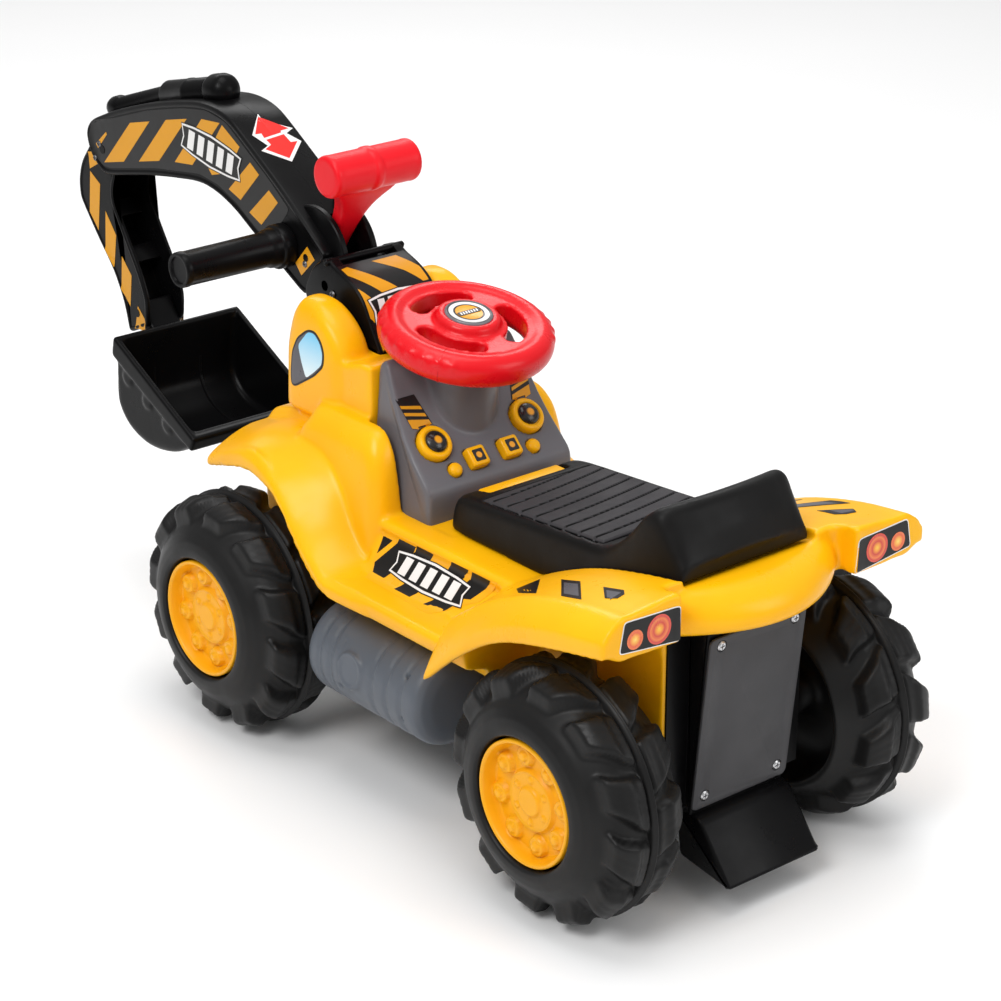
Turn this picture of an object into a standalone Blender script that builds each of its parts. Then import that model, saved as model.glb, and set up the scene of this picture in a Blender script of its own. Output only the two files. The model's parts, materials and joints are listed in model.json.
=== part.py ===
"""Ride on digger: a foot-to-floor toy excavator with a hand-worked digging arm.

The frame: Z = 0 is the ground under the tyres, -Y is forward (towards the arm) and +X is the rider's left.
Outlines and sizes below are in millimetres and drawn from the point midway between the axles. solid() turns
them into metres and moves them by FRAME_SHIFT, so that the origin is under the middle of the whole toy.
"""

import math

import bmesh
import bpy
from mathutils import Matrix, Vector

MM = 0.001
GAP = 0.3

# Wheels and axles
WHEEL_RADIUS = 90.0
HALF_WHEELBASE = 181.0
WHEEL_CENTRE_X = 114.0
TYRE_SEGMENTS = 24
LUG_COUNT = 12
LUG_RISE = 9.0
AXLE_RADIUS = 5.0
AXLE_HALF_LENGTH = 139.0
HUB_TUBE_RADIUS = 13.0
HUB_TUBE_IN = -38.0
HUB_TUBE_OUT = 20.0
HUB_RING_RADIUS = 44.5
HUBCAP_RADIUS = 43.7

# From the point between the axles to the origin: ARM_NOSE is the digging arm's foremost point.
ARM_NOSE = -535.0
FRAME_SHIFT = Vector((0.0, -(ARM_NOSE + HALF_WHEELBASE + WHEEL_RADIUS) / 2, 0.0))

# Body
DECK_HEIGHT = 193.0
TUB_HALF_WIDTH = 64.0
WHEEL_WELL_RADIUS = 97.0
TUB_BOTTOM = 112.0
WALL = 4.0
SEAT_HALF_WIDTH = 60.0
CONSOLE_HALF_WIDTH = 66.0
CONSOLE_FRONT = -104.0
STORAGE_FLOOR = 140.0

# Steering
STEERING_CENTRE = Vector((0.0, -60.0, 306.0))
STEERING_TILT = math.radians(12.0)
STEERING_RADIUS = 63.0
SHAFT_RADIUS = 8.0

# Arm
BOOM_PIVOT = (-180.0, 320.0)
STICK_PIVOT = (-488.0, 352.0)
LEVER_PIVOT = (-216.0, 330.0)
BUCKET_PIVOT = (-457.0, 222.0)
HANDLE_CENTRE = (-169.0, 404.0)
GRIP_CENTRE = (-241.0, 334.0)
BOOM_HALF_WIDTH = 24.0
STICK_HALF_WIDTH = 18.4
BUCKET_HALF_WIDTH = 58.0
BASE_HALF_WIDTH = 33.0
STICK_CRANK = 15.0
LEVER_CRANK = 20.0
QUADRANT_RADIUS = 23.0

# Seat
SEAT_HINGE = (219.0, 235.5)

COLOURS = {
    "yellow_plastic": ((1.0, 0.52, 0.015), 0.28),
    "black_plastic": ((0.012, 0.012, 0.013), 0.3),
    "tyre_plastic": ((0.014, 0.014, 0.015), 0.42),
    "grey_plastic": ((0.12, 0.12, 0.14), 0.35),
    "tank_plastic": ((0.15, 0.17, 0.2), 0.4),
    "red_plastic": ((0.82, 0.01, 0.03), 0.25),
    "pad_plastic": ((0.045, 0.045, 0.05), 0.6),
    "plate_plastic": ((0.05, 0.05, 0.055), 0.45),
    "badge_metal": ((0.65, 0.66, 0.68), 0.25),
    "steel": ((0.55, 0.56, 0.58), 0.3),
}
METALS = ("badge_metal", "steel")


def clear_scene():
    """Removes whatever the scene holds, so that the script can be run again."""
    for obj in list(bpy.data.objects):
        bpy.data.objects.remove(obj, do_unlink=True)
    for mesh in list(bpy.data.meshes):
        bpy.data.meshes.remove(mesh)


def material(name):
    """The Principled material of one kind of plastic or metal."""
    found = bpy.data.materials.get(name)
    if found:
        return found
    colour, roughness = COLOURS[name]
    made = bpy.data.materials.new(name)
    made.use_nodes = True
    shader = made.node_tree.nodes["Principled BSDF"]
    shader.inputs["Base Color"].default_value = (*colour, 1.0)
    shader.inputs["Roughness"].default_value = roughness
    shader.inputs["Metallic"].default_value = 1.0 if name in METALS else 0.0
    made.diffuse_color = (*colour, 1.0)
    return made


# Mesh builders. Each gives a bmesh in millimetres.


def skin(sections, ring=False):
    """Joins closed sections of equally many points with faces. Ends are capped unless ring is set."""
    bm = bmesh.new()
    rows = [[bm.verts.new(point) for point in section] for section in sections]
    count = len(rows[0])
    pairs = list(zip(rows, rows[1:] + rows[:1])) if ring else list(zip(rows, rows[1:]))
    for near, far in pairs:
        for i in range(count):
            j = (i + 1) % count
            bm.faces.new((near[i], near[j], far[j], far[i]))
    if not ring:
        bm.faces.new(rows[0])
        bm.faces.new(rows[-1])
    bmesh.ops.recalc_face_normals(bm, faces=bm.faces)
    return bm


def prism(outline, low, high):
    """A side outline of (y, z) points, drawn out along X from low to high."""
    return skin([[(x, y, z) for y, z in outline] for x in (low, high)])


def block(low, high):
    """A box between two corners."""
    outline = [(low[1], low[2]), (high[1], low[2]), (high[1], high[2]), (low[1], high[2])]
    return prism(outline, low[0], high[0])


def turned(profile, segments, lift=None):
    """Turns a closed profile of (radius, along) points round the X axis. lift(i, point) changes a radius."""
    sections = []
    for i in range(segments):
        angle = 2 * math.pi * i / segments
        row = []
        for point in profile:
            radius = lift(i, point) if lift else point[0]
            row.append((point[1], radius * math.cos(angle), radius * math.sin(angle)))
        sections.append(row)
    return skin(sections, ring=True)


def round_bar(rings, segments=16):
    """A round bar along Z through (radius, z) rings, capped at both ends."""
    sections = []
    for radius, along in rings:
        turn = [2 * math.pi * i / segments for i in range(segments)]
        sections.append([(radius * math.cos(a), radius * math.sin(a), along) for a in turn])
    return skin(sections)


def placed(bm, matrix):
    """The same bmesh, moved by a matrix."""
    bmesh.ops.transform(bm, matrix=matrix, verts=bm.verts)
    return bm


def along_line(rings, start, end, segments=16):
    """A round bar of (radius, distance) rings that starts at one point and runs towards another."""
    turn = (Vector(end) - Vector(start)).to_track_quat("Z", "Y").to_matrix().to_4x4()
    return placed(round_bar(rings, segments), Matrix.Translation(start) @ turn)


def rod(radius, start, end, segments=16):
    """A round bar of one radius between two points."""
    length = (Vector(end) - Vector(start)).length
    return along_line([(radius, 0.0), (radius, length)], start, end, segments)


def cross_rod(radius, centre, low, high, segments=16):
    """A round bar along X at a (y, z) centre."""
    return rod(radius, (low, *centre), (high, *centre), segments)


def mirrored(bm):
    """The bmesh's mirror image in the plane of symmetry."""
    bmesh.ops.scale(bm, vec=(-1, 1, 1), verts=bm.verts)
    bmesh.ops.reverse_faces(bm, faces=bm.faces)
    return bm


def rounded_plan(x0, x1, y0, y1, corner, z, steps=2):
    """A level rectangle with rounded corners, as a section."""
    points = []
    quarter = math.pi / 2
    near = (x0 + corner, y0 + corner)
    far = (x1 - corner, y1 - corner)
    centres = [far, (near[0], far[1]), near, (far[0], near[1])]
    for side, (cx, cy) in enumerate(centres):
        for i in range(steps + 1):
            angle = quarter * (side + i / steps)
            points.append((cx + corner * math.cos(angle), cy + corner * math.sin(angle), z))
    return points


def arc(centre, radius, start, end, steps):
    """Points on an arc in the side view, from one angle to another, in degrees."""
    points = []
    for i in range(steps + 1):
        angle = math.radians(start + (end - start) * i / steps)
        points.append((centre[0] + radius * math.cos(angle), centre[1] + radius * math.sin(angle)))
    return points


# Objects


def solid(name, kind, bm, pivot=(0.0, 0.0, 0.0)):
    """Makes an object in metres from a bmesh in millimetres, with its origin at the pivot."""
    pivot = Vector(pivot)
    bmesh.ops.translate(bm, vec=-pivot, verts=bm.verts)
    bmesh.ops.scale(bm, vec=(MM, MM, MM), verts=bm.verts)
    mesh = bpy.data.meshes.new(name)
    bm.to_mesh(mesh)
    bm.free()
    obj = bpy.data.objects.new(name, mesh)
    obj.location = (pivot + FRAME_SHIFT) * MM
    bpy.context.scene.collection.objects.link(obj)
    mesh.materials.append(material(kind))
    finish_shading(obj)
    return obj


def finish_shading(obj):
    obj.data.shade_smooth()
    obj.data.set_sharp_from_angle(angle=math.radians(35))


def combine(base, operation, tools):
    """Applies a Boolean with each tool in turn, then drops the tool."""
    for bm in tools:
        tool = solid("tool", "steel", bm)
        step = base.modifiers.new(operation, "BOOLEAN")
        step.operation = operation
        step.solver = "EXACT"
        step.object = tool
        bpy.context.view_layer.update()
        graph = bpy.context.evaluated_depsgraph_get()
        mesh = bpy.data.meshes.new_from_object(base.evaluated_get(graph))
        old = base.data
        base.modifiers.clear()
        base.data = mesh
        mesh.name = base.name
        bpy.data.meshes.remove(old)
        bpy.data.objects.remove(tool, do_unlink=True)
    finish_shading(base)
    return base


def join(base, *tools):
    return combine(base, "UNION", tools)


def cut(base, *tools):
    return combine(base, "DIFFERENCE", tools)


# Wheels


def tyre_profile():
    """The tyre wall's closed profile: (radius, distance outboard of the centre rib)."""
    outside = [
        (HUB_RING_RADIUS, 30.0),
        (HUB_RING_RADIUS, 38.5),
        (60.0, 36.5),
        (73.0, 25.0),
        (80.0, 17.0),
        (81.0, 4.0),
        (88.5, 0.0),
        (81.0, -4.0),
        (80.0, -17.0),
        (72.0, -28.0),
        (61.0, -40.4),
    ]
    inside = [
        (56.0, -40.4),
        (49.0, -10.0),
        (HUB_TUBE_RADIUS, -8.0),
        (HUB_TUBE_RADIUS, HUB_TUBE_IN),
        (AXLE_RADIUS + GAP, HUB_TUBE_IN),
        (AXLE_RADIUS + GAP, HUB_TUBE_OUT),
        (HUB_TUBE_RADIUS, HUB_TUBE_OUT),
        (HUB_TUBE_RADIUS, -4.5),
        (53.0, -6.5),
        (60.0, -34.0),
        (76.0, -14.0),
        (76.0, 14.0),
        (60.0, 31.0),
    ]
    return outside + inside


def lug_lift(i, point):
    """Raises the tread into blocks, with the inboard row half a pitch behind the outboard one."""
    radius, along = point
    on_tread = radius > 76.5 and 2.0 < abs(along) < 20.0
    if not on_tread:
        return radius
    steps = TYRE_SEGMENTS // LUG_COUNT
    phase = i if along > 0 else i + steps // 2
    raised = phase % steps != 0
    return radius + (LUG_RISE if raised else 0.0)


def hubcap_profile():
    """The cap's closed profile: a dish with a raised boss."""
    return [
        (0.01, 32.0),
        (10.0, 32.0),
        (11.0, 29.5),
        (19.0, 30.5),
        (21.5, 26.5),
        (38.5, 26.5),
        (41.4, 38.2),
        (HUBCAP_RADIUS, 38.2),
        (HUBCAP_RADIUS, 23.5),
        (20.5, 23.5),
        (18.0, 27.2),
        (0.01, 27.2),
    ]


def capped_turn(profile, segments):
    """A turned solid whose profile starts and ends on the axis."""
    bm = turned(profile, segments)
    bmesh.ops.remove_doubles(bm, verts=bm.verts, dist=0.05)
    return bm


def build_wheel(corner, side, y):
    """One wheel: tyre and hubcap turn together on the axle, between a spacer and a push nut."""
    pivot = (side * WHEEL_CENTRE_X, y, WHEEL_RADIUS)
    turn = Matrix.Rotation(0.0 if side > 0 else math.pi, 4, "Z")
    place = Matrix.Translation(pivot) @ turn
    bore = AXLE_RADIUS + GAP
    tyre = turned(tyre_profile(), TYRE_SEGMENTS, lug_lift)
    solid(f"tyre_{corner}", "tyre_plastic", placed(tyre, place), pivot)
    cap = capped_turn(hubcap_profile(), 18)
    solid(f"hubcap_{corner}", "yellow_plastic", placed(cap, place), pivot)
    nut = [(bore, HUB_TUBE_OUT + GAP), (8.0, HUB_TUBE_OUT + GAP), (8.0, 24.5), (bore, 24.5)]
    solid(f"push_nut_{corner}", "steel", placed(turned(nut, 16), place), pivot)
    inner = 52.0 + GAP - WHEEL_CENTRE_X
    outer = HUB_TUBE_IN - GAP
    spacer = [(bore, inner), (9.0, inner), (9.0, outer), (bore, outer)]
    solid(f"axle_spacer_{corner}", "black_plastic", placed(turned(spacer, 16), place), pivot)


def build_wheels():
    for end, y in (("front", -HALF_WHEELBASE), ("rear", HALF_WHEELBASE)):
        centre = (y, WHEEL_RADIUS)
        bar = cross_rod(AXLE_RADIUS, centre, -AXLE_HALF_LENGTH, AXLE_HALF_LENGTH)
        solid(f"{end}_axle", "steel", bar, (0.0, *centre))
        for hand, side in (("left", 1), ("right", -1)):
            build_wheel(f"{end}_{hand}", side, y)


# Body


def both_sides(make):
    """A left-hand bmesh and its mirror image."""
    return [make(), mirrored(make())]


def cab_side():
    """The lower flank of the cab, beside the console. It leans in towards its shoulder."""
    return skin(
        [
            rounded_plan(30, 96, -170, -44, 12, 146),
            rounded_plan(30, 94, -168, -48, 12, 165),
            rounded_plan(30, 90, -160, -54, 12, 200),
            rounded_plan(30, 85, -150, -62, 12, 230),
            rounded_plan(30, 80, -142, -69, 10, 245),
            rounded_plan(30, 74, -137, -75, 8, 252),
        ]
    )


def cab_tower():
    """The round-topped pod on one side of the arm."""
    return skin(
        [
            rounded_plan(34, 68, -185, -113, 12, 236),
            rounded_plan(34, 68, -184, -113, 13, 270),
            rounded_plan(35, 67, -181, -117, 13, 292),
            rounded_plan(37, 66, -176, -128, 12, 308),
            rounded_plan(40, 62, -170, -143, 9, 317),
            rounded_plan(45, 56, -163, -152, 5, 320.5),
        ]
    )


def front_fender():
    """A band that runs level over the front wheel and down behind it, tilting down outboard."""
    inner = [(-214, 216), (-190, 223), (-175, 228), (-121, 228), (-103, 224)]
    inner += [(-88, 213), (-78, 196), (-68, 178), (-50, 162), (-8, 159)]
    inner += [(-8, 142), (-60, 142), (-78, 172), (-94, 194), (-120, 206), (-165, 212), (-214, 204)]
    edge = [(118, -216, 198), (119, -190, 210), (120, -162, 219), (122, -131, 208), (123, -115, 194)]
    edge += [(125, -102, 180), (128, -88, 172), (131, -70, 164), (134, -54, 157), (131, -8, 157)]
    edge += [(131, -8, 146), (134, -50, 146), (130, -74, 155), (125, -97, 168)]
    edge += [(122, -124, 196), (120, -160, 207), (118, -216, 190)]
    sections = [[(x, y, z) for y, z in inner] for x in (58, 82)]
    return skin(sections + [edge])


def sill():
    """The sloping side panel and the step at its foot, between the wheels."""
    return skin([sill_section(y) for y in (-62, 96)])


def sill_section(y):
    outline = [(30, 193), (80, 193), (100, 158), (131, 160), (131, 146), (110, 142), (106, 131), (30, 131)]
    return [(x, y, z) for x, z in outline]


def rear_fender():
    """The arched fender over the rear wheel, pointed at its front tip."""
    wall = [(84, 190), (116, 207), (159, 225), (205, 239), (247, 242)]
    wall_under = [(247, 208), (205, 205), (159, 196), (116, 180), (84, 150)]
    crest = [(76, 180), (104, 203), (150, 224), (203, 237), (247, 238)]
    edge = [(68, 134), (104, 172), (145, 201), (195, 216), (247, 224)]
    edge_under = [(247, 213), (195, 203), (145, 190), (104, 164), (67, 131)]
    crest_under = [(247, 208), (203, 204), (150, 192), (104, 170), (74, 150)]
    sections = []
    for x, top, under in (
        (SEAT_HALF_WIDTH + 2.5, wall, wall_under),
        (80, wall, wall_under),
        (126, crest, crest_under),
        (143, edge, edge_under),
    ):
        sections.append([(x, y, z) for y, z in top + under])
    return skin(sections)


def rear_bumper():
    """The bowed band behind the seat, which stands a little proud of the fenders' ends."""
    half = 68
    sections = []
    for x in (-half, -half * 2 / 3, -half / 3, 0, half / 3, half * 2 / 3, half):
        bow = 5 + 15 * (1 - (x / half) ** 2)
        outline = [(214, 228.5), (226, 230.5), (236 + 0.6 * bow, 230.5), (243 + 0.85 * bow, 222)]
        outline += [(246 + bow, 212), (244 + bow, 205), (236 + bow, 202), (214, 202)]
        sections.append([(x, y, z) for y, z in outline])
    return skin(sections)


def build_body_shell():
    """The yellow body: one moulding, open below, with a storage bin under the seat."""
    tub_outline = [
        (-214, TUB_BOTTOM),
        (-222, 200),
        (-212, 224),
        (-170, 236),
        (-168, 284),
        (-112, 284),
        (CONSOLE_FRONT - 1, 278),
        (CONSOLE_FRONT - 1, DECK_HEIGHT),
        (94, DECK_HEIGHT),
        (207, 224),
        (216, 228),
        (216, TUB_BOTTOM),
    ]
    shell = solid("body_shell", "yellow_plastic", prism(tub_outline, -TUB_HALF_WIDTH, TUB_HALF_WIDTH))
    for make in (cab_side, cab_tower, front_fender, sill, rear_fender):
        join(shell, *both_sides(make))
    join(shell, rear_bumper())
    join(shell, block((-46, -3, 185), (46, 10, 219)))
    for y in (-HALF_WHEELBASE, HALF_WHEELBASE):
        for low, high in ((TUB_HALF_WIDTH, 170), (-170, -TUB_HALF_WIDTH)):
            cut(shell, cross_rod(WHEEL_WELL_RADIUS, (y, WHEEL_RADIUS), low, high, 32))
    inside = TUB_HALF_WIDTH - WALL
    cut(shell, console_space())
    cut(shell, block((-inside, -200, 100), (inside, -104, 212)))
    cut(shell, block((-inside, -110, 100), (inside, 24, DECK_HEIGHT - WALL)))
    cut(shell, block((-inside, 20, 100), (inside, 176, STORAGE_FLOOR - WALL)))
    cut(shell, block((-inside, 172, 100), (inside, 212, 200)))
    cut(shell, block((-45, 28, STORAGE_FLOOR), (45, 168, 240)))
    join(shell, *hinge_lugs())
    cut(shell, cross_rod(2.3, SEAT_HINGE, -44, 44, 8))
    return shell


def console_space():
    """The room that the console takes out of the cab, with a gap all round."""
    width = CONSOLE_HALF_WIDTH + GAP
    front = CONSOLE_FRONT - GAP
    outline = [(front, DECK_HEIGHT), (front, 340), (0, 340), (0, DECK_HEIGHT)]
    return prism(outline, -width, width)


def hinge_lugs():
    """Two upright lugs that carry the seat's hinge pin."""
    outline = [(214, 222), *arc(SEAT_HINGE, 3.4, 0, 160, 4), (213, 222)]
    return [prism(outline, low, low + 6) for low in (-36, 30)]


def build_underframe():
    """The black tray under the body, which holds both axles."""
    half = 52.0
    tray = solid("underframe", "black_plastic", block((-half, -205, 66), (half, 207, TUB_BOTTOM - GAP)))
    cut(tray, block((-half + WALL, -205 + WALL, 66 + WALL), (half - WALL, 207 - WALL, 130)))
    for y in (-HALF_WHEELBASE, HALF_WHEELBASE):
        cut(tray, cross_rod(AXLE_RADIUS + GAP, (y, WHEEL_RADIUS), -half - 5, half + 5))
    return tray


PLATE_TOP = Vector((0.0, 238.5, 193.5))
PLATE_FOOT = Vector((0.0, 225.5, 65.0))


def plate_normal():
    slope = PLATE_TOP - PLATE_FOOT
    return Vector((0.0, slope.z, -slope.y)).normalized()


def plate_screws():
    """Where the plate's four screws stand: name and point on the plate's face."""
    spots = []
    for row, share in (("upper", 0.95), ("lower", 0.075)):
        for hand, x in (("left", 33.0), ("right", -33.0)):
            point = PLATE_FOOT.lerp(PLATE_TOP, share)
            spots.append((f"plate_screw_{row}_{hand}", Vector((x, point.y, point.z))))
    return spots


def build_rear_support():
    """The black block behind the body with its sloping foot, and the plate screwed to it."""
    outline = [(216.3, 201), (236, 201), (223.2, 62.5), (231, 61)]
    outline += [(262, 21), (213, 28), (208, 61), (216.3, 111)]
    hollow = [(210, 197), (232, 197), (219.5, 64), (228, 58)]
    hollow += [(252, 27), (216, 32), (200, 61), (200, 111)]
    support = solid("rear_support", "black_plastic", prism(outline, -42, 42))
    cut(support, prism(hollow, -39, 39))
    normal = plate_normal()
    back = 2.0
    corners = [PLATE_TOP, PLATE_FOOT, PLATE_FOOT - normal * back, PLATE_TOP - normal * back]
    plate = solid("rear_plate", "plate_plastic", prism([(p.y, p.z) for p in corners], -43, 43))
    for name, point in plate_screws():
        hole = (point - normal * 9, point + normal * 3)
        cut(plate, rod(1.8, *hole, segments=8))
        cut(support, rod(1.8, *hole, segments=8))
        rings = [(1.5, -5.0), (1.5, GAP), (3.4, GAP), (3.0, 1.5)]
        solid(name, "steel", along_line(rings, point, point + normal, 10), point)


def build_tanks():
    """The grooved barrel under each sill."""
    radius = 35.0
    rings = [(29.0, -84.0), (radius, -76.0)]
    for groove in (-58.0, -19.0, 20.0):
        rings += [(radius, groove - 4), (radius - 2, groove), (radius, groove + 4)]
    rings += [(radius, 38.0), (29.0, 46.0)]
    along_y = Matrix.Rotation(-math.pi / 2, 4, "X")
    for hand, side in (("left", 1), ("right", -1)):
        centre = Vector((side * 95.0, 0.0, 93.0))
        barrel = placed(round_bar(rings, 20), Matrix.Translation(centre) @ along_y)
        tank = solid(f"side_tank_{hand}", "tank_plastic", barrel)
        hollow = round_bar([(radius - 6, -80.0), (radius - 6, 42.0)], 12)
        cut(tank, placed(hollow, Matrix.Translation(centre) @ along_y))
        low, high = sorted((side * 50.0, side * 70.0))
        cut(tank, block((low, -50, 85), (high, 12, 101)))


# Console and steering


FACE_TOP = Vector((0.0, -50.0, 247.0))
FACE_FOOT = Vector((0.0, -20.0, 217.0))


def face_frame(x, share):
    """A frame on the console's lower slope, Z standing out of it. share is 0 at its foot and 1 at its top."""
    slope = (FACE_TOP - FACE_FOOT).normalized()
    across = Vector((-1.0, 0.0, 0.0))
    normal = across.cross(slope)
    point = FACE_FOOT.lerp(FACE_TOP, share) + Vector((x, 0.0, 0.0))
    columns = Matrix((tuple(across), tuple(slope), tuple(normal))).transposed()
    return Matrix.Translation(point) @ columns.to_4x4()


BUTTONS = {
    "round_button_left": (42.0, 0.8),
    "round_button_right": (-42.0, 0.8),
    "square_button_left": (15.0, 0.36),
    "square_button_right": (-15.0, 0.36),
    "lamp_left": (35.5, 0.27),
    "lamp_right": (-35.5, 0.27),
}


def button_shape(name, extra=0.0):
    """A button or lamp in its own frame; extra makes the hole it passes through."""
    depth = -16.0 if extra else -9.0
    if name.startswith("square"):
        half = 7.5 + extra
        plan = [rounded_plan(-half, half, -half, half, 2.0, z) for z in (depth, 9.0 if extra else 4.5)]
        cap = rounded_plan(-6.3, 6.3, -6.3, 6.3, 2.0, 5.6)
        return skin(plan if extra else plan + [cap])
    if name.startswith("round"):
        rings = [(12.5, depth), (12.5, 3.5), (10.5, 5.6), (8.6, 5.6), (8.0, 6.6), (4.5, 8.2)]
    else:
        rings = [(5.2, depth), (5.2, 1.4), (3.6, 3.2), (1.8, 3.8)]
    if extra:
        rings = [(rings[0][0] + extra, depth), (rings[0][0] + extra, 8.0)]
    return round_bar(rings, 20 if name.startswith("round") else 12)


def steering_frame():
    return Matrix.Translation(STEERING_CENTRE) @ Matrix.Rotation(-STEERING_TILT, 4, "X")


def build_console():
    """The grey console with the steering column's collar, hollow from below, and its buttons."""
    foot = DECK_HEIGHT + GAP
    front = CONSOLE_FRONT
    outline = [(front, foot), (front, 291), (-98, 295), (-76, 295), (-50, 247), (-20, 217), (-19, foot)]
    inside = front + WALL
    hollow = [(inside, 180), (inside, 290), (-80, 290), (-54, 244), (-24, 214), (-23, 180)]
    width = CONSOLE_HALF_WIDTH
    bevel = 5.0
    sections = []
    for x, inset in ((-width, bevel), (-width + bevel, 0), (width - bevel, 0), (width, bevel)):
        inset_outline = [(y - inset if y > -90 else y, z - inset if z > 200 else z) for y, z in outline]
        sections.append([(x, y, z) for y, z in inset_outline])
    console = solid("console", "grey_plastic", skin(sections))
    axis = steering_frame()
    collar = [(25.0, -78.0), (27.0, -56.0), (25.5, -40.0), (25.0, -15.5)]
    join(console, placed(round_bar(collar, 24), axis))
    cut(console, prism(hollow, -width + WALL, width - WALL))
    cut(console, placed(round_bar([(SHAFT_RADIUS + GAP, -110.0), (SHAFT_RADIUS + GAP, 0.0)], 16), axis))
    for name, (x, share) in BUTTONS.items():
        cut(console, placed(button_shape(name, GAP), face_frame(x, share)))
        frame = face_frame(x, share)
        solid(name, "yellow_plastic", placed(button_shape(name), frame), frame.translation)
    box = block((-34, -90, DECK_HEIGHT + GAP), (34, -46, 208))
    solid("sound_box", "black_plastic", box)


def wheel_slot(angle):
    """One of the steering wheel's three bean-shaped openings, as a cutter."""
    inner, outer, spread = 27.0, 41.0, math.radians(36)
    points = []
    for i in range(6):
        turn = angle - spread + 2 * spread * i / 5
        points.append((outer * math.cos(turn), outer * math.sin(turn)))
    for i in range(6):
        turn = angle + spread - 2 * spread * i / 5
        points.append((inner * math.cos(turn), inner * math.sin(turn)))
    return skin([[(x, y, z) for x, y in points] for z in (-30.0, 30.0)])


def build_steering():
    """The toy steering wheel, its cap and its shaft."""
    axis = steering_frame()
    rim = STEERING_RADIUS
    rings = [
        (20.0, -13.0),
        (32.0, -1.0),
        (40.0, -2.0),
        (46.0, -11.5),
        (54.0, -12.5),
        (61.0, -8.0),
        (rim, 0.0),
        (60.0, 8.0),
        (53.0, 11.5),
        (46.0, 10.0),
        (40.0, 9.0),
        (28.0, 9.0),
        (25.5, 11.0),
        (23.5, 15.5),
    ]
    wheel = solid("steering_wheel", "red_plastic", placed(round_bar(rings, 28), axis), STEERING_CENTRE)
    for i in range(3):
        cut(wheel, placed(wheel_slot(math.radians(30 + 120 * i)), axis))
    cut(wheel, placed(round_bar([(SHAFT_RADIUS + GAP, -30.0), (SHAFT_RADIUS + GAP, 8.0)], 16), axis))
    cut(wheel, placed(round_bar([(17.5, 14.0), (17.5, 20.0)], 24), axis))
    cap = round_bar([(17.2, 14.0 + GAP), (17.2, 16.0), (15.5, 16.8)], 24)
    solid("steering_cap", "badge_metal", placed(cap, axis), STEERING_CENTRE)
    shaft = round_bar([(SHAFT_RADIUS, -86.0), (SHAFT_RADIUS, 7.5)], 16)
    solid("steering_shaft", "black_plastic", placed(shaft, axis), STEERING_CENTRE)


# Seat


def seat_section(y, half, foot, top, corner):
    """One upright section of the seat lid, across X."""
    return [
        (-half, y, foot),
        (-half, y, top - corner),
        (-half + corner, y, top),
        (half - corner, y, top),
        (half, y, top - corner),
        (half, y, foot),
    ]


def build_seat():
    """The lid with its low backrest, hollow from below, and the grooved pad let into it."""
    half = SEAT_HALF_WIDTH
    stations = [
        (-4, half - 6, DECK_HEIGHT + GAP, 212, 4),
        (1, half - 2, DECK_HEIGHT + GAP, 220, 6),
        (20, half, DECK_HEIGHT + GAP, 222, 7),
        (94, half, DECK_HEIGHT + GAP, 227, 7),
        (148, half, 208.5, 234, 8),
        (166, half + 1, 213.5, 248, 10),
        (184, half + 1, 218.3, 264, 12),
        (200, half - 1, 224, 272, 14),
        (212, half - 3, 230, 269, 14),
        (223, half - 7, 231, 246, 8),
    ]
    lid = solid("seat_lid", "black_plastic", skin([seat_section(*s) for s in stations]), (0.0, *SEAT_HINGE))
    inner = []
    for y, width, foot, top, corner in stations[1:-1]:
        inner.append(seat_section(y + (3 if y < 10 else 0), width - WALL, foot - 12, top - 5, corner))
    cut(lid, skin(inner))
    cut(lid, block((-47, -10, 180), (47, 11, 230)))
    join(lid, block((-50, 10.5, DECK_HEIGHT + 3), (50, 14, 221)))
    cut(lid, skin([pad_section(y, 50 + GAP, 0.0, 20.0) for y in (20 - GAP, 143 + GAP)]))
    cut(lid, cross_rod(2.3, SEAT_HINGE, -80, 80, 8))
    for low in (-37, 29):
        cut(lid, block((low, 206, 220), (low + 8, 230, 243)))
    pad = skin([pad_section(y, 50, GAP, 2.5) for y in (20, 143)])
    solid("seat_pad", "pad_plastic", pad, (0.0, *SEAT_HINGE))
    solid("seat_hinge_pin", "steel", cross_rod(2.0, SEAT_HINGE, -51, 51, 8), (0.0, *SEAT_HINGE))


def pad_section(y, half, low, high):
    """The pad's section: it rises to the rear with the seat's top."""
    floor = 219.8 + (y - 20) * 0.085
    corners = [(-half, low), (-half, high), (half, high), (half, low)]
    return [(x, y, floor + rise) for x, rise in corners]


# Arm


def boom_outline():
    """The boom's side outline, anticlockwise as seen from +X."""
    top = [(-191, 338), (-238, 373), (-290, 405), (-311, 417), (-339, 421)]
    top += [(-371, 416), (-420, 404), (-469, 388), (-504, 373)]
    nose = [(-511, 362), (-506, 346), (-490, 333)]
    lower = [(-478, 333), (-411, 348), (-351, 357), (-328, 354)]
    lower += [(-305, 346), (-284, 334), (-243, 313), (-214, 298)]
    heel = arc(BOOM_PIVOT, 18.0, 235, 420, 6)
    return top + nose + lower + heel


def shrunk(outline, inset):
    """The same outline, moved inwards by inset. The outline runs anticlockwise as seen from +X."""
    result = []
    count = len(outline)
    for i in range(count):
        before = Vector(outline[i - 1])
        here = Vector(outline[i])
        after = Vector(outline[(i + 1) % count])
        first = (here - before).normalized()
        second = (after - here).normalized()
        normal = Vector((-(first.y + second.y), first.x + second.x)).normalized()
        slant = max(0.5, normal.dot(Vector((-first.y, first.x))))
        result.append(tuple(here + normal * (inset / slant)))
    return result


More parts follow.
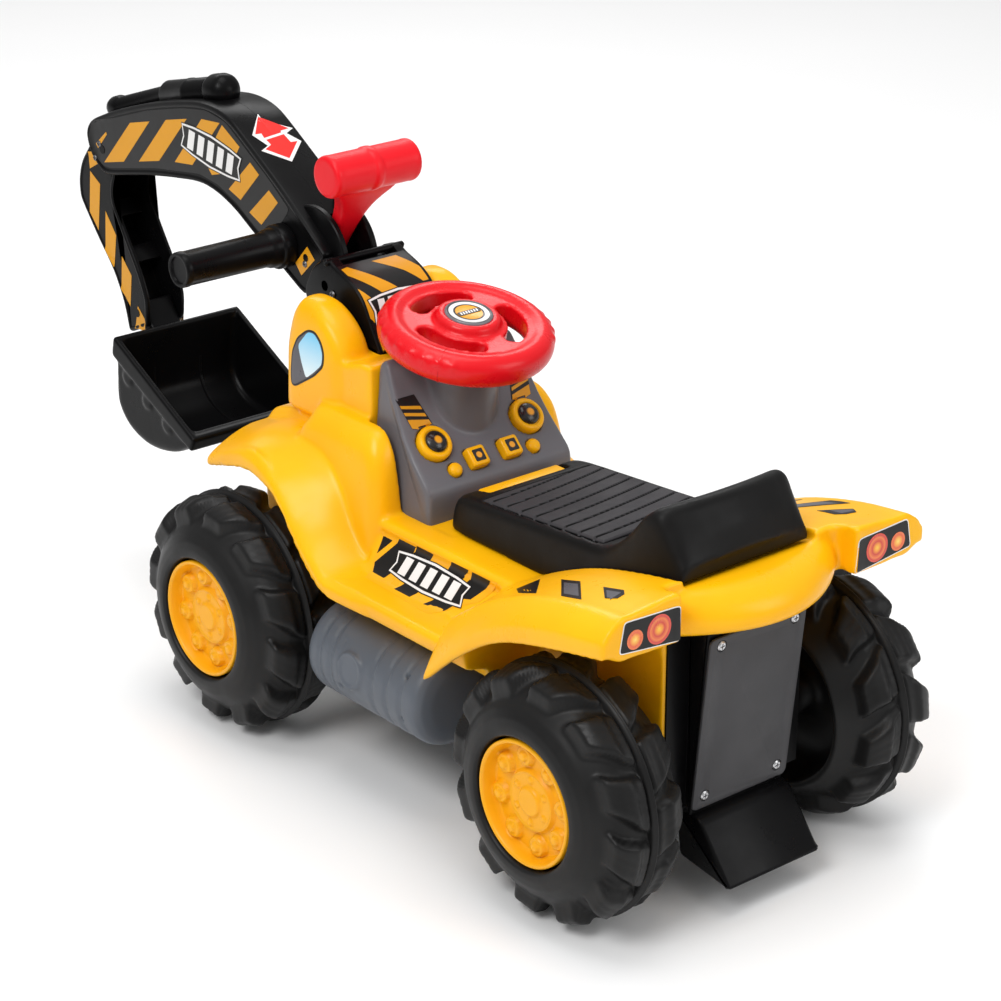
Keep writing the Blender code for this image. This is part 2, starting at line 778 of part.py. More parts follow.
def build_arm_base():
    """The black housing between the towers that holds the boom's pivot."""
    front = [(-190, 284.3), (-200, 290), (-206, 312), (-196, 330), (-184, 339)]
    panel = [(-175, 341), (-168, 337), (-150, 331), (-136, 322), (-124, 300), (-114, 284.3)]
    outline = front + panel
    base = solid("arm_base", "black_plastic", prism(outline, -BASE_HALF_WIDTH, BASE_HALF_WIDTH))
    slot = BOOM_HALF_WIDTH + 0.6
    room = arc(BOOM_PIVOT, 19.2, 270, 390, 6) + [(-181, 360), (-230, 360), (-230, 296), (-196, 296)]
    cut(base, prism(room, -slot, slot))
    cut(base, block((-27, -172, 280), (27, -134, 304)))
    cut(base, cross_rod(4.3, BOOM_PIVOT, -40, 40, 12))
    pin = cross_rod(4.0, BOOM_PIVOT, -BASE_HALF_WIDTH, BASE_HALF_WIDTH, 12)
    solid("boom_pin", "steel", pin, (0.0, *BOOM_PIVOT))


def lever_slot():
    """The opening in the boom's upper face that the lever swings in."""
    outward = (Vector(HANDLE_CENTRE) - Vector(LEVER_PIVOT)).normalized()
    along = Vector((-outward.y, outward.x))
    centre = Vector(LEVER_PIVOT)
    corners = []
    for reach, shift in ((10.0, -17.0), (45.0, -17.0), (45.0, 17.0), (10.0, 17.0)):
        corners.append(tuple(centre + outward * reach + along * shift))
    return prism(corners, -10.5, 14.0)


def build_boom():
    """The boom's two screwed half shells, with pins, grip and the cylinder on top."""
    pivot = (0.0, *BOOM_PIVOT)
    for hand, side in (("left", 1), ("right", -1)):
        whole = prism(boom_outline(), -BOOM_HALF_WIDTH, BOOM_HALF_WIDTH)
        half = solid(f"boom_shell_{hand}", "black_plastic", whole, pivot)
        cut(half, prism(shrunk(boom_outline(), 3.0), -BOOM_HALF_WIDTH + 3, BOOM_HALF_WIDTH - 3))
        cut(half, block((-21, -530, 300), (21, -458, 368)))
        cut(half, lever_slot())
        for radius, centre in ((4.3, BOOM_PIVOT), (3.8, STICK_PIVOT), (3.3, LEVER_PIVOT)):
            cut(half, cross_rod(radius, centre, -40, 40, 12))
        if side > 0:
            cut(half, block((-60, -560, 250), (GAP / 2, -100, 460)))
        else:
            cut(half, block((-GAP / 2, -560, 250), (60, -100, 460)))
    solid("stick_pin", "steel", cross_rod(3.5, STICK_PIVOT, -23.5, 23.5, 12), (0.0, *STICK_PIVOT))
    solid("lever_pin", "steel", cross_rod(3.0, LEVER_PIVOT, -23.5, 23.5, 12), (0.0, *LEVER_PIVOT))
    grip = [(14.0, 24.0 + GAP), (16.5, 27.0), (16.5, 35.0), (13.5, 40.0), (13.0, 113.0), (11.0, 118.0)]
    along_x = Matrix.Rotation(math.pi / 2, 4, "Y")
    bar = placed(round_bar(grip, 20), Matrix.Translation((0.0, *GRIP_CENTRE)) @ along_x)
    solid("side_grip", "black_plastic", bar, (0.0, *GRIP_CENTRE))
    build_cylinder()


def build_cylinder():
    """The moulded cylinder that rests on the boom's top: barrel and rod."""
    tail = Vector((0.0, -343.0, 426.0))
    joint = Vector((0.0, -424.0, 406.0))
    nose = Vector((0.0, -503.0, 379.0))
    length = (joint - tail).length
    rings = [(6.0, -6.0), (11.5, -3.0), (13.0, 2.0), (13.0, 16.0), (11.0, 19.0)]
    rings += [(11.0, length - 2), (9.0, length)]
    barrel = solid("cylinder_barrel", "black_plastic", along_line(rings, tail, joint))
    start = joint + (nose - joint).normalized() * 1.5
    reach = (nose - start).length
    rings = [(7.5, 0.0), (7.5, reach - 14), (9.0, reach - 10), (9.0, reach - 3), (6.0, reach + 2)]
    piston = solid("cylinder_rod", "black_plastic", along_line(rings, start, nose))
    for piece in (barrel, piston):
        room = shrunk(boom_outline(), -GAP)
        cut(piece, prism(room, -60, 60))


def build_lever():
    """The red T-handle and its stem, the round quadrant beside it, and the push rod that it works."""
    pivot = (0.0, *LEVER_PIVOT)
    outward = (Vector(HANDLE_CENTRE) - Vector(LEVER_PIVOT)).normalized()
    along = Vector((-outward.y, outward.x))
    sections = []
    widths = ((-8, 7, 6), (8, 8, 7), (24, 9, 7), (44, 12, 7), (58, 17, 8), (70, 26, 9), (78, 30, 8))
    for reach, half, thick in widths:
        row = []
        for x, shift in ((half, thick), (-half, thick), (-half, -thick), (half, -thick)):
            point = Vector(LEVER_PIVOT) + outward * reach + along * shift
            row.append((x, *point))
        sections.append(row)
    lever = solid("control_lever", "red_plastic", skin(sections), pivot)
    rings = [(13.0, -38.5), (15.5, -36.0), (15.5, -4.0), (16.3, -3.0)]
    rings += [(radius, -along) for radius, along in reversed(rings)]
    along_x = Matrix.Rotation(math.pi / 2, 4, "Y")
    handle = Matrix.Translation((0.0, *HANDLE_CENTRE)) @ along_x
    join(lever, placed(round_bar(rings, 20), handle))
    y, z = LEVER_PIVOT
    crank = [(y - 6, z), (y - 4, z + LEVER_CRANK + 3), (y + 4, z + LEVER_CRANK + 3), (y + 6, z)]
    join(lever, prism(crank, -4.0, 4.0))
    cut(lever, cross_rod(3.3, LEVER_PIVOT, -40, 40, 12))
    plate = cross_rod(QUADRANT_RADIUS, LEVER_PIVOT, 10.0, 13.0, 24)
    disc = solid("lever_quadrant", "black_plastic", plate, pivot)
    cut(disc, cross_rod(3.3, LEVER_PIVOT, 0, 40, 12))
    build_push_rod()


def build_push_rod():
    """The flat rod inside the boom, bent to clear its belly, beside the lever's crank and the stick's."""
    rear = (LEVER_PIVOT[0], LEVER_PIVOT[1] + LEVER_CRANK)
    front = (STICK_PIVOT[0], STICK_PIVOT[1] + STICK_CRANK)
    path = [(rear[0] - 2, rear[1]), (-300.0, 366.0), (-350.0, 369.0), (front[0] - 3, front[1])]
    outline = [(y, z - 2.5) for y, z in path] + [(y, z + 2.5) for y, z in reversed(path)]
    solid("push_rod", "steel", prism(outline, 5.0, 8.5), (6.75, *rear))


def build_stick():
    """The channel-shaped stick that hangs from the boom, open towards the rider."""
    rear = [(-474, 356), (-476, 340), (-487, 313), (-468, 283), (-451, 258), (-441, 236), (-443, 214)]
    front = [(-470, 202), (-476, 226), (-489, 250), (-509, 271), (-528, 294)]
    front += [(-534, 302), (ARM_NOSE, 316), (-530, 332), (-513, 352)]
    head = [(-503, 362), (-495, 367), (-482, 367), (-475, 362)]
    whole = prism(rear + front + head, -STICK_HALF_WIDTH, STICK_HALF_WIDTH)
    stick = solid("stick", "black_plastic", whole, (0.0, *STICK_PIVOT))
    hollow_front = [(-466, 190), (-471, 226), (-485, 248), (-505, 269), (-524, 293)]
    hollow_front += [(-530, 303), (-531, 316), (-526, 330), (-508, 338)]
    hollow_rear = [(-474, 338), (-460, 330), (-440, 290), (-420, 250), (-420, 190)]
    cut(stick, prism(hollow_front + hollow_rear, -15.2, 15.2))
    cut(stick, block((-15.2, -500, 190), (15.2, -440, 246)))
    crank_top = STICK_PIVOT[1] + STICK_CRANK + 3.5
    for low, high in ((-30.0, -4.3), (4.3, 30.0)):
        cut(stick, block((low, -540, 359.5), (high, -440, 400)))
    join(stick, block((-4.0, -492, 355), (4.0, -484, crank_top)))
    for centre in (STICK_PIVOT, BUCKET_PIVOT):
        cut(stick, cross_rod(3.8, centre, -40, 40, 12))


def bucket_outline(inset=0.0):
    """The bucket's side outline; with an inset, its hollow, which runs out through the mouth."""
    bowl = [(-427, 217), (-430, 199), (-433, 172), (-431, 160), (-421, 148)]
    bowl += [(-408, 141), (-387, 136), (-357, 140), (-339, 149), (-322, 162)]
    if not inset:
        return bowl
    centre = Vector((-378.0, 178.0))
    moved = []
    for point in bowl:
        offset = Vector(point) - centre
        moved.append(tuple(centre + offset * (1 - inset / offset.length)))
    moved[0] = (-421, 240)
    moved[-1] = (-310, 190)
    return moved


def build_bucket():
    """The open bucket, its lip and the neck that carries its pin."""
    pivot = (0.0, *BUCKET_PIVOT)
    half = BUCKET_HALF_WIDTH
    bucket = solid("bucket", "black_plastic", prism(bucket_outline(), -half, half), pivot)
    lip = [(-428, 219), (-431, 205), (-432, 203), (-324, 152), (-320, 164)]
    join(bucket, prism(lip, -half - 2, half + 2))
    sections = []
    neck = ((-459, 230, 14.6, 4), (-452, 216, 14.6, 6), (-446, 208, 15, 7))
    neck += ((-440, 203, 26, 7), (-431, 200, 50, 4))
    for y, z, width, thick in neck:
        low = (y - thick, z - 2)
        high = (y + thick, z + 2)
        sections.append([(-width, *low), (width, *low), (width, *high), (-width, *high)])
    join(bucket, skin(sections))
    cut(bucket, prism(bucket_outline(3.0), -half + 3, half - 3))
    cut(bucket, cross_rod(3.8, BUCKET_PIVOT, -40, 40, 12))
    solid("bucket_pin", "steel", cross_rod(3.5, BUCKET_PIVOT, -18.2, 18.2, 12), pivot)


def main():
    clear_scene()
    build_body_shell()
    build_underframe()
    build_rear_support()
    build_tanks()
    build_wheels()
    build_console()
    build_steering()
    build_seat()
    build_arm_base()
    build_boom()
    build_lever()
    build_stick()
    build_bucket()


main()
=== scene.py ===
"""The ride on digger's looks: fine moulded shells, stickers and plastics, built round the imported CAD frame.

Lengths are in millimetres, and mesh_object() turns them into metres. -Y is forward (towards the arm), +X
is the rider's left and Z = 0 is the ground. Shapes are drawn from the point on the ground midway between
the axles. Every piece's mesh is in place and its object stays at the origin, so a material's Object
coordinates are the frame's own metres at rest.
"""

import json
import math

import bmesh
import bpy
from mathutils import Matrix, Vector
from mathutils.bvhtree import BVHTree


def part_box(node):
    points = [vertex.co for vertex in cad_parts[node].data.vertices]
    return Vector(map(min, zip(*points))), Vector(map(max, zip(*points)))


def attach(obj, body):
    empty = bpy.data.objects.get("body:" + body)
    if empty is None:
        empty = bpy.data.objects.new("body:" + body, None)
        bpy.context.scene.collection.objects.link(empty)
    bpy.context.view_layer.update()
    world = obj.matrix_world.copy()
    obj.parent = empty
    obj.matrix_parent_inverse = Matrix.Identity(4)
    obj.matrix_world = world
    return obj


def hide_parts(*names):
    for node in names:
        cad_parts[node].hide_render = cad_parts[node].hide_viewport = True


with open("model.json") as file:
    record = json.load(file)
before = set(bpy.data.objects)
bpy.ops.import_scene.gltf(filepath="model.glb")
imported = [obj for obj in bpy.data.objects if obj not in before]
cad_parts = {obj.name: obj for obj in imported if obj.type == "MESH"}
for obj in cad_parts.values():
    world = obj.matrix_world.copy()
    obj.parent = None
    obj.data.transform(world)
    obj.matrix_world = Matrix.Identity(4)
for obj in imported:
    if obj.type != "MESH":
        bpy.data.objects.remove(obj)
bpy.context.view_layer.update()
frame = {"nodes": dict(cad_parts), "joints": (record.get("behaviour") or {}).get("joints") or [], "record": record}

MM = 0.001
JOINTS = {joint["name"]: joint for joint in frame["joints"]}


def wheel_line(end):
    return JOINTS[f"wheel_{end}_left_spin"]["pos_m"][1] / MM


# Shapes are drawn from the point on the ground midway between the axles, which stands here in the frame.
DRAWN_FROM = Vector((0.0, (wheel_line("front") + wheel_line("rear")) / 2, 0.0))


def pivot(joint):
    """Where a joint's axis stands, in drawn millimetres."""
    return Vector(JOINTS[joint]["pos_m"]) / MM - DRAWN_FROM


def corners(node):
    """A CAD node's lowest and highest corners, in drawn millimetres."""
    low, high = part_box(node)
    return low / MM - DRAWN_FROM, high / MM - DRAWN_FROM


BOOM_PIVOT = pivot("boom_lift")
STICK_PIVOT = pivot("stick_swing")
LEVER_PIVOT = pivot("lever_swing")
STEERING_CENTRE = pivot("steering_turn")
DECK = corners("console")[0].z
LEVER_GRIP = Vector((0.0, -169.0, 404.0))
HANDS = (("left", 1), ("right", -1))


# Outlines and sections, as lists of vectors


def rounded(outline, radius, steps=4):
    """A closed outline with each corner drawn as a curve; radius is one number, or one for each corner."""
    result = []
    count = len(outline)
    for i, corner in enumerate(outline):
        reach = radius[i] if isinstance(radius, (list, tuple)) else radius
        here = Vector(corner)
        before = Vector(outline[i - 1]) - here
        after = Vector(outline[(i + 1) % count]) - here
        if reach < 0.01:
            result.append(here)
            continue
        start = here + before * min(reach / before.length, 0.48)
        end = here + after * min(reach / after.length, 0.48)
        for k in range(steps + 1):
            t = k / steps
            result.append(start.lerp(here, t).lerp(here.lerp(end, t), t))
    return result


def shrunk(outline, inset):
    """A closed outline moved inwards by inset."""
    points = [Vector(p) for p in outline]
    count = len(points)
    area = sum(points[i - 1].x * points[i].y - points[i].x * points[i - 1].y for i in range(count))
    inward = 1.0 if area > 0 else -1.0
    result = []
    for i in range(count):
        first = (points[i] - points[i - 1]).normalized()
        second = (points[(i + 1) % count] - points[i]).normalized()
        if first.length < 0.5 or second.length < 0.5:
            first = second = (points[(i + 1) % count] - points[i - 1]).normalized()
        normal = Vector((-(first.y + second.y), first.x + second.x)).normalized() * inward
        slant = max(0.6, normal.dot(Vector((-first.y, first.x)) * inward))
        result.append(points[i] + normal * (inset / slant))
    return result


def around(radius, angle, centre=(0.0, 0.0)):
    """The point at a radius and an angle in degrees from a centre."""
    turn = math.radians(angle)
    return (centre[0] + radius * math.cos(turn), centre[1] + radius * math.sin(turn))


def arc(centre, radius, start, end, steps=12):
    """Points on an arc, from one angle to another in degrees."""
    return [around(radius, start + (end - start) * i / steps, centre) for i in range(steps + 1)]


def circle(radius, steps=40, centre=(0.0, 0.0)):
    return arc(centre, radius, 0, 360 * (steps - 1) / steps, steps - 1)


def smoothed(sections, between):
    """The sections with more between them, on a smooth curve through the given ones."""
    result = []
    last = len(sections) - 1
    for i in range(last):
        rows = (sections[max(i - 1, 0)], sections[i], sections[i + 1], sections[min(i + 2, last)])
        for k in range(between + 1):
            t = k / (between + 1)
            row = []
            for points in zip(*rows):
                a, b, c, d = (Vector(p) for p in points)
                bend = (2 * a - 5 * b + 4 * c - d) * t * t + (3 * b - 3 * c + d - a) * t**3
                row.append((2 * b + (c - a) * t + bend) * 0.5)
            result.append(row)
    result.append(sections[-1])
    return result


def plan(x0, x1, y0, y1, corner, z, steps=6):
    """A level rectangle with round corners, as a section."""
    box = [(x1, y1, z), (x0, y1, z), (x0, y0, z), (x1, y0, z)]
    return rounded(box, corner, steps)


# Mesh builders. Each gives a bmesh in millimetres.


def loft(sections, between=0, ring=False):
    """A closed skin over sections that have the same number of points."""
    if between:
        sections = smoothed(sections, between)
    bm = bmesh.new()
    rows = [[bm.verts.new(point) for point in section] for section in sections]
    count = len(rows[0])
    pairs = zip(rows, rows[1:] + rows[:1]) if ring else zip(rows, rows[1:])
    for near, far in pairs:
        for i in range(count):
            j = (i + 1) % count
            bm.faces.new((near[i], near[j], far[j], far[i]))
    if not ring:
        bm.faces.new(rows[0])
        bm.faces.new(rows[-1])
    bmesh.ops.recalc_face_normals(bm, faces=bm.faces)
    return bm


def prism(outline, low, high):
    """A side outline of (y, z) points, drawn out along X."""
    return loft([[(x, p[0], p[1]) for p in outline] for x in (low, high)])


def stack(outline, layers):
    """A side outline drawn out along X through (inset, x) layers, which round its edges or sink its face."""
    return loft([[(x, p[0], p[1]) for p in shrunk(outline, inset)] for inset, x in layers])


def rims(steps):
    """Layers for stack: the (inset, x) steps of one side, outermost first, and their mirror image."""
    return [(inset, -x) for inset, x in steps] + [(inset, x) for inset, x in reversed(steps)]


def block(low, high):
    return prism(
        [(low[1], low[2]), (high[1], low[2]), (high[1], high[2]), (low[1], high[2])], low[0], high[0]
    )


def lathe(profile, segments=64):
    """A round solid along Z through (radius, z) points, capped at both ends."""
    sections = []
    for radius, along in profile:
        sections.append([(x, y, along) for x, y in circle(max(radius, 0.01), segments)])
    bm = loft(sections)
    bmesh.ops.remove_doubles(bm, verts=bm.verts, dist=0.02)
    return bm


def placed(bm, matrix):
    bmesh.ops.transform(bm, matrix=matrix, verts=bm.verts)
    return bm


def aimed(start, end):
    """A matrix that carries Z onto the line from start to end."""
    direction = Vector(end) - Vector(start)
    return Matrix.Translation(Vector(start)) @ direction.to_track_quat("Z", "Y").to_matrix().to_4x4()


def rod(radius, start, end, segments=32, soft=0.0):
    """A round bar between two points, with its end edges softened."""
    length = (Vector(end) - Vector(start)).length
    profile = [(radius, 0.0), (radius, length)]
    if soft:
        profile = [(radius - soft, 0.0), (radius, soft), (radius, length - soft), (radius - soft, length)]
    return placed(lathe(profile, segments), aimed(start, end))


def mirrored(bm):
    bmesh.ops.scale(bm, vec=(-1, 1, 1), verts=bm.verts)
    bmesh.ops.reverse_faces(bm, faces=bm.faces)
    return bm


def both(make):
    """A left-hand shape and its mirror image."""
    return [make(), mirrored(make())]


# Objects


def mesh_object(name, parts):
    """One object in metres from bmeshes in millimetres."""
    whole = bpy.data.meshes.new(name)
    joined = bmesh.new()
    for part in parts:
        piece = bpy.data.meshes.new("part")
        part.to_mesh(piece)
        part.free()
        joined.from_mesh(piece)
        bpy.data.meshes.remove(piece)
    bmesh.ops.translate(joined, vec=DRAWN_FROM, verts=joined.verts)
    bmesh.ops.scale(joined, vec=(MM, MM, MM), verts=joined.verts)
    joined.to_mesh(whole)
    joined.free()
    obj = bpy.data.objects.new(name, whole)
    bpy.context.scene.collection.objects.link(obj)
    return obj


def apply_modifiers(obj):
    """Replaces an object's mesh with what its modifiers make of it."""
    bpy.context.view_layer.update()
    graph = bpy.context.evaluated_depsgraph_get()
    made = bpy.data.meshes.new_from_object(obj.evaluated_get(graph))
    old = obj.data
    obj.modifiers.clear()
    obj.data = made
    made.name = obj.name
    bpy.data.meshes.remove(old)
    return obj


def carve(obj, cutters, solver="EXACT"):
    """Takes the cutters, bmeshes in millimetres, out of an object."""
    for bm in cutters:
        tool = mesh_object("cutter", [bm])
        step = obj.modifiers.new("cut", "BOOLEAN")
        step.operation = "DIFFERENCE"
        step.solver = solver
        step.object = tool
        apply_modifiers(obj)
        bpy.data.objects.remove(tool, do_unlink=True)
    return obj


def remesh(obj, voxel):
    step = obj.modifiers.new("remesh", "REMESH")
    step.mode = "VOXEL"
    step.voxel_size = voxel * MM
    return apply_modifiers(obj)


def fused(name, parts, voxel, passes, cutters=()):
    """One moulded skin over parts that run into one another, with every edge rounded."""
    obj = remesh(mesh_object(name, parts), voxel)
    if cutters:
        carve(obj, cutters, "MANIFOLD")
        remesh(obj, voxel)
    step = obj.modifiers.new("smooth", "SMOOTH")
    step.factor = 0.5
    step.iterations = passes
    apply_modifiers(obj)
    obj.data.shade_smooth()
    return obj


def smooth(obj, angle=40):
    """Smooth shading, but for edges sharper than an angle."""
    obj.data.shade_smooth()
    obj.data.set_sharp_from_angle(angle=math.radians(angle))
    return obj


def softened(obj, width, segments=2):
    """Rounds an object's sharp edges, those that turn by more than 35 degrees."""
    step = obj.modifiers.new("edges", "BEVEL")
    step.width = width * MM
    step.segments = segments
    step.limit_method = "ANGLE"
    step.angle_limit = math.radians(35)
    return smooth(apply_modifiers(obj))


def fit(obj, body, look, replaces=()):
    """Finishes a piece: its look, the body it rides on, and the CAD nodes it stands for."""
    if obj.data.materials:
        obj.data.materials.clear()
    for each in look if isinstance(look, (list, tuple)) else [look]:
        obj.data.materials.append(each)
    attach(obj, body)
    if replaces:
        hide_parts(*replaces)
    return obj


def piece(name, parts, body, look, slot, replaces=(), angle=40):
    """A finished piece straight from its parts."""
    return fit(smooth(mesh_object(name, parts), angle), body, look, replaces)


# Materials


def add(tree, kind, inputs=None, **settings):
    """A shader node with its settings, and its inputs set or linked."""
    made = tree.nodes.new(kind)
    for key, value in settings.items():
        setattr(made, key, value)
    for key, value in (inputs or {}).items():
        if isinstance(value, bpy.types.NodeSocket):
            tree.links.new(value, made.inputs[key])
        else:
            made.inputs[key].default_value = value
    return made


def shade(colour, factor):
    return (*(min(1.0, c * factor) for c in colour), 1.0)


def plastic(name, colour, rough, edge_wear_and_sheen=0.12, peel=0.10, grain=0.06, variation=0.05, tint=None, glare=0.5):
    """Moulded plastic: faint mottling, an uneven polish, orange peel, fine grain, and paler edges that are partly
    wear and partly a painted sheen for light caught on rounded edges.
    """
    made = bpy.data.materials.new(name)
    made.use_nodes = True
    tree = made.node_tree
    shader = tree.nodes["Principled BSDF"]
    place = add(tree, "ShaderNodeTexCoord").outputs["Object"]
    cloud = add(tree, "ShaderNodeTexNoise", {"Vector": place, "Scale": 13.0, "Detail": 4.0})
    fine = add(tree, "ShaderNodeTexNoise", {"Vector": place, "Scale": 1500.0, "Detail": 2.0})
    wave = add(tree, "ShaderNodeTexNoise", {"Vector": place, "Scale": 110.0, "Detail": 1.0})
    smear = add(
        tree, "ShaderNodeTexNoise", {"Vector": place, "Scale": 38.0, "Detail": 6.0, "Roughness": 0.65}
    )
    colours = add(tree, "ShaderNodeValToRGB", {"Fac": cloud.outputs["Fac"]})
    colours.color_ramp.elements[0].position = 0.3
    colours.color_ramp.elements[0].color = shade(tint or colour, 1.0 - variation)
    colours.color_ramp.elements[1].position = 0.7
    colours.color_ramp.elements[1].color = shade(colour, 1.0 + variation)
    softer = add(tree, "ShaderNodeBevel", {"Radius": 0.0009}, samples=4).outputs["Normal"]
    true = add(tree, "ShaderNodeNewGeometry").outputs["Normal"]
    turn = add(tree, "ShaderNodeVectorMath", {0: softer, 1: true}, operation="DOT_PRODUCT").outputs["Value"]
    edge = add(
        tree, "ShaderNodeMapRange", {"Value": turn, "From Min": 0.985, "From Max": 0.8, "To Max": edge_wear_and_sheen}
    )
    # Edges are painted paler, towards grey: partly wear, partly painted sheen where rounded edges catch the light.
    scuff_and_sheen_mask = add(tree, "ShaderNodeMath", {0: edge.outputs[0], 1: smear.outputs["Fac"]}, operation="MULTIPLY")
    pale = [c + (0.6 - c) * 0.35 for c in colour]
    mixed = add(tree, "ShaderNodeMix", {"Factor": scuff_and_sheen_mask.outputs[0]}, data_type="RGBA")
    tree.links.new(colours.outputs["Color"], mixed.inputs["A"])
    mixed.inputs["B"].default_value = (*pale, 1.0)
    tree.links.new(mixed.outputs["Result"], shader.inputs["Base Color"])
    polish = add(
        tree,
        "ShaderNodeMapRange",
        {
            "Value": smear.outputs["Fac"], "From Min": 0.3, "From Max": 0.7, "To Min": rough * 0.85,
            "To Max": rough * 1.2
        },
    )
    tree.links.new(polish.outputs[0], shader.inputs["Roughness"])
    low = add(tree, "ShaderNodeBump", {"Height": wave.outputs["Fac"], "Strength": peel, "Distance": 0.0006})
    high = add(
        tree,
        "ShaderNodeBump",
        {"Height": fine.outputs["Fac"], "Strength": grain, "Distance": 0.0002, "Normal": low.outputs[0]},
    )
    tree.links.new(high.outputs[0], shader.inputs["Normal"])
    shader.inputs["Specular IOR Level"].default_value = glare
    made.diffuse_color = shade(colour, 1.0)
    return made


def ink(name, colour, rough=0.3, variation=0.05, glare=0.3):
    """Printed film: even and smooth, with no paler edges, neither wear nor painted edge sheen."""
    return plastic(name, colour, rough, edge_wear_and_sheen=0.0, grain=0.02, variation=variation, glare=glare)


def steel(name, colour, rough):
    """Plated steel with fine brushing and dull patches."""
    made = plastic(name, colour, rough, edge_wear_and_sheen=0.0, peel=0.05, grain=0.15)
    made.node_tree.nodes["Principled BSDF"].inputs["Metallic"].default_value = 1.0
    return made


def radial(name, centre, stops):
    """A printed disc: colours run outwards from a centre through (radius, colour) stops, in millimetres."""
    made = plastic(name, stops[0][1], 0.25, edge_wear_and_sheen=0.0, grain=0.02)
    tree = made.node_tree
    reach = stops[-1][0] * MM
    place = add(tree, "ShaderNodeTexCoord").outputs["Object"]
    middle = (Vector(centre) + DRAWN_FROM) * MM
    away = add(tree, "ShaderNodeVectorMath", {0: place, 1: middle}, operation="DISTANCE")
    share = add(tree, "ShaderNodeMath", {0: away.outputs["Value"], 1: reach}, operation="DIVIDE")
    ramp = add(tree, "ShaderNodeValToRGB", {"Fac": share.outputs[0]})
    ramp.color_ramp.elements.remove(ramp.color_ramp.elements[1])
    for i, (radius, colour) in enumerate(stops):
        element = ramp.color_ramp.elements[0] if i == 0 else ramp.color_ramp.elements.new(radius * MM / reach)
        element.position = radius * MM / reach
        element.color = (*colour, 1.0)
    tree.links.new(ramp.outputs["Color"], tree.nodes["Principled BSDF"].inputs["Base Color"])
    return made


def sky_blue(name):
    """The printed window glass: pale at its foot, deeper blue above, with cloudy highlights."""
    made = plastic(name, (0.2, 0.6, 0.85), 0.22, edge_wear_and_sheen=0.0, grain=0.02)
    tree = made.node_tree
    place = add(tree, "ShaderNodeTexCoord").outputs["Object"]
    split = add(tree, "ShaderNodeSeparateXYZ", {"Vector": place})
    rise = add(
        tree, "ShaderNodeMapRange", {"Value": split.outputs["Z"], "From Min": 0.265, "From Max": 0.299}
    )
    ramp = add(tree, "ShaderNodeValToRGB", {"Fac": rise.outputs[0]})
    ramp.color_ramp.elements[0].color = (0.75, 0.88, 0.93, 1.0)
    ramp.color_ramp.elements[1].color = (0.16, 0.55, 0.82, 1.0)
    tree.links.new(ramp.outputs["Color"], tree.nodes["Principled BSDF"].inputs["Base Color"])
    return made


YELLOW = plastic(
    "yellow_moulded", (0.93, 0.468, 0.002), 0.3, tint=(0.91, 0.425, 0.002), variation=0.02, glare=0.24
)
YELLOW_CAP = plastic("yellow_cap", (0.88, 0.40, 0.004), 0.34, variation=0.03, glare=0.28)
BLACK = plastic("black_moulded", (0.0034, 0.0033, 0.0036), 0.3, variation=0.25, edge_wear_and_sheen=0.1, glare=0.1)
SATIN = plastic("black_satin", (0.004, 0.004, 0.0042), 0.42, variation=0.25, edge_wear_and_sheen=0.1, grain=0.12, glare=0.15)
TYRE = plastic(
    "tyre_plastic", (0.0075, 0.0073, 0.0073), 0.42,
    variation=0.2, edge_wear_and_sheen=0.12, peel=0.12, grain=0.15, glare=0.22
)
FRAME = plastic("frame_black", (0.0035, 0.0035, 0.0035), 0.45, variation=0.2, edge_wear_and_sheen=0.1, grain=0.2, glare=0.12)
GREY = plastic("console_grey", (0.125, 0.122, 0.135), 0.32, variation=0.05, grain=0.1, glare=0.28)
TANK = plastic("tank_grey", (0.1, 0.113, 0.134), 0.38, variation=0.06, grain=0.1, glare=0.32)
RED = plastic("red_moulded", (0.7, 0.0035, 0.0095), 0.28, edge_wear_and_sheen=0.03, variation=0.03, glare=0.3)
PAD = plastic("pad_charcoal", (0.036, 0.034, 0.037), 0.64, variation=0.12, grain=0.6, peel=0.15, glare=0.2)
SEAT = plastic("seat_black", (0.005, 0.0048, 0.0048), 0.42, variation=0.2, edge_wear_and_sheen=0.08, grain=0.25, glare=0.14)
RED_SATIN = plastic("red_lever", (0.74, 0.004, 0.012), 0.38, variation=0.03, glare=0.26)
PLATE = plastic("plate_charcoal", (0.046, 0.045, 0.048), 0.5, variation=0.1, grain=0.3, glare=0.3)
STEEL = steel("plated_steel", (0.55, 0.55, 0.56), 0.32)
DARK_STEEL = steel("dark_screws", (0.16, 0.16, 0.17), 0.35)
SILVER = steel("silver_print", (0.78, 0.78, 0.78), 0.25)
INK_BLACK = ink("ink_black", (0.008, 0.0075, 0.0075), 0.32, 0.2, 0.25)
INK_ORANGE = ink("ink_orange", (0.68, 0.3, 0.008), 0.34, glare=0.25)
INK_YELLOW = ink("ink_yellow", (0.88, 0.42, 0.006))
INK_WHITE = ink("ink_white", (0.8, 0.79, 0.78), variation=0.03)
INK_RED = ink("ink_red", (0.76, 0.02, 0.015))
INK_GREY = ink("ink_grey", (0.09, 0.09, 0.105), variation=0.1)
WINDOW = sky_blue("ink_window")


# Stickers


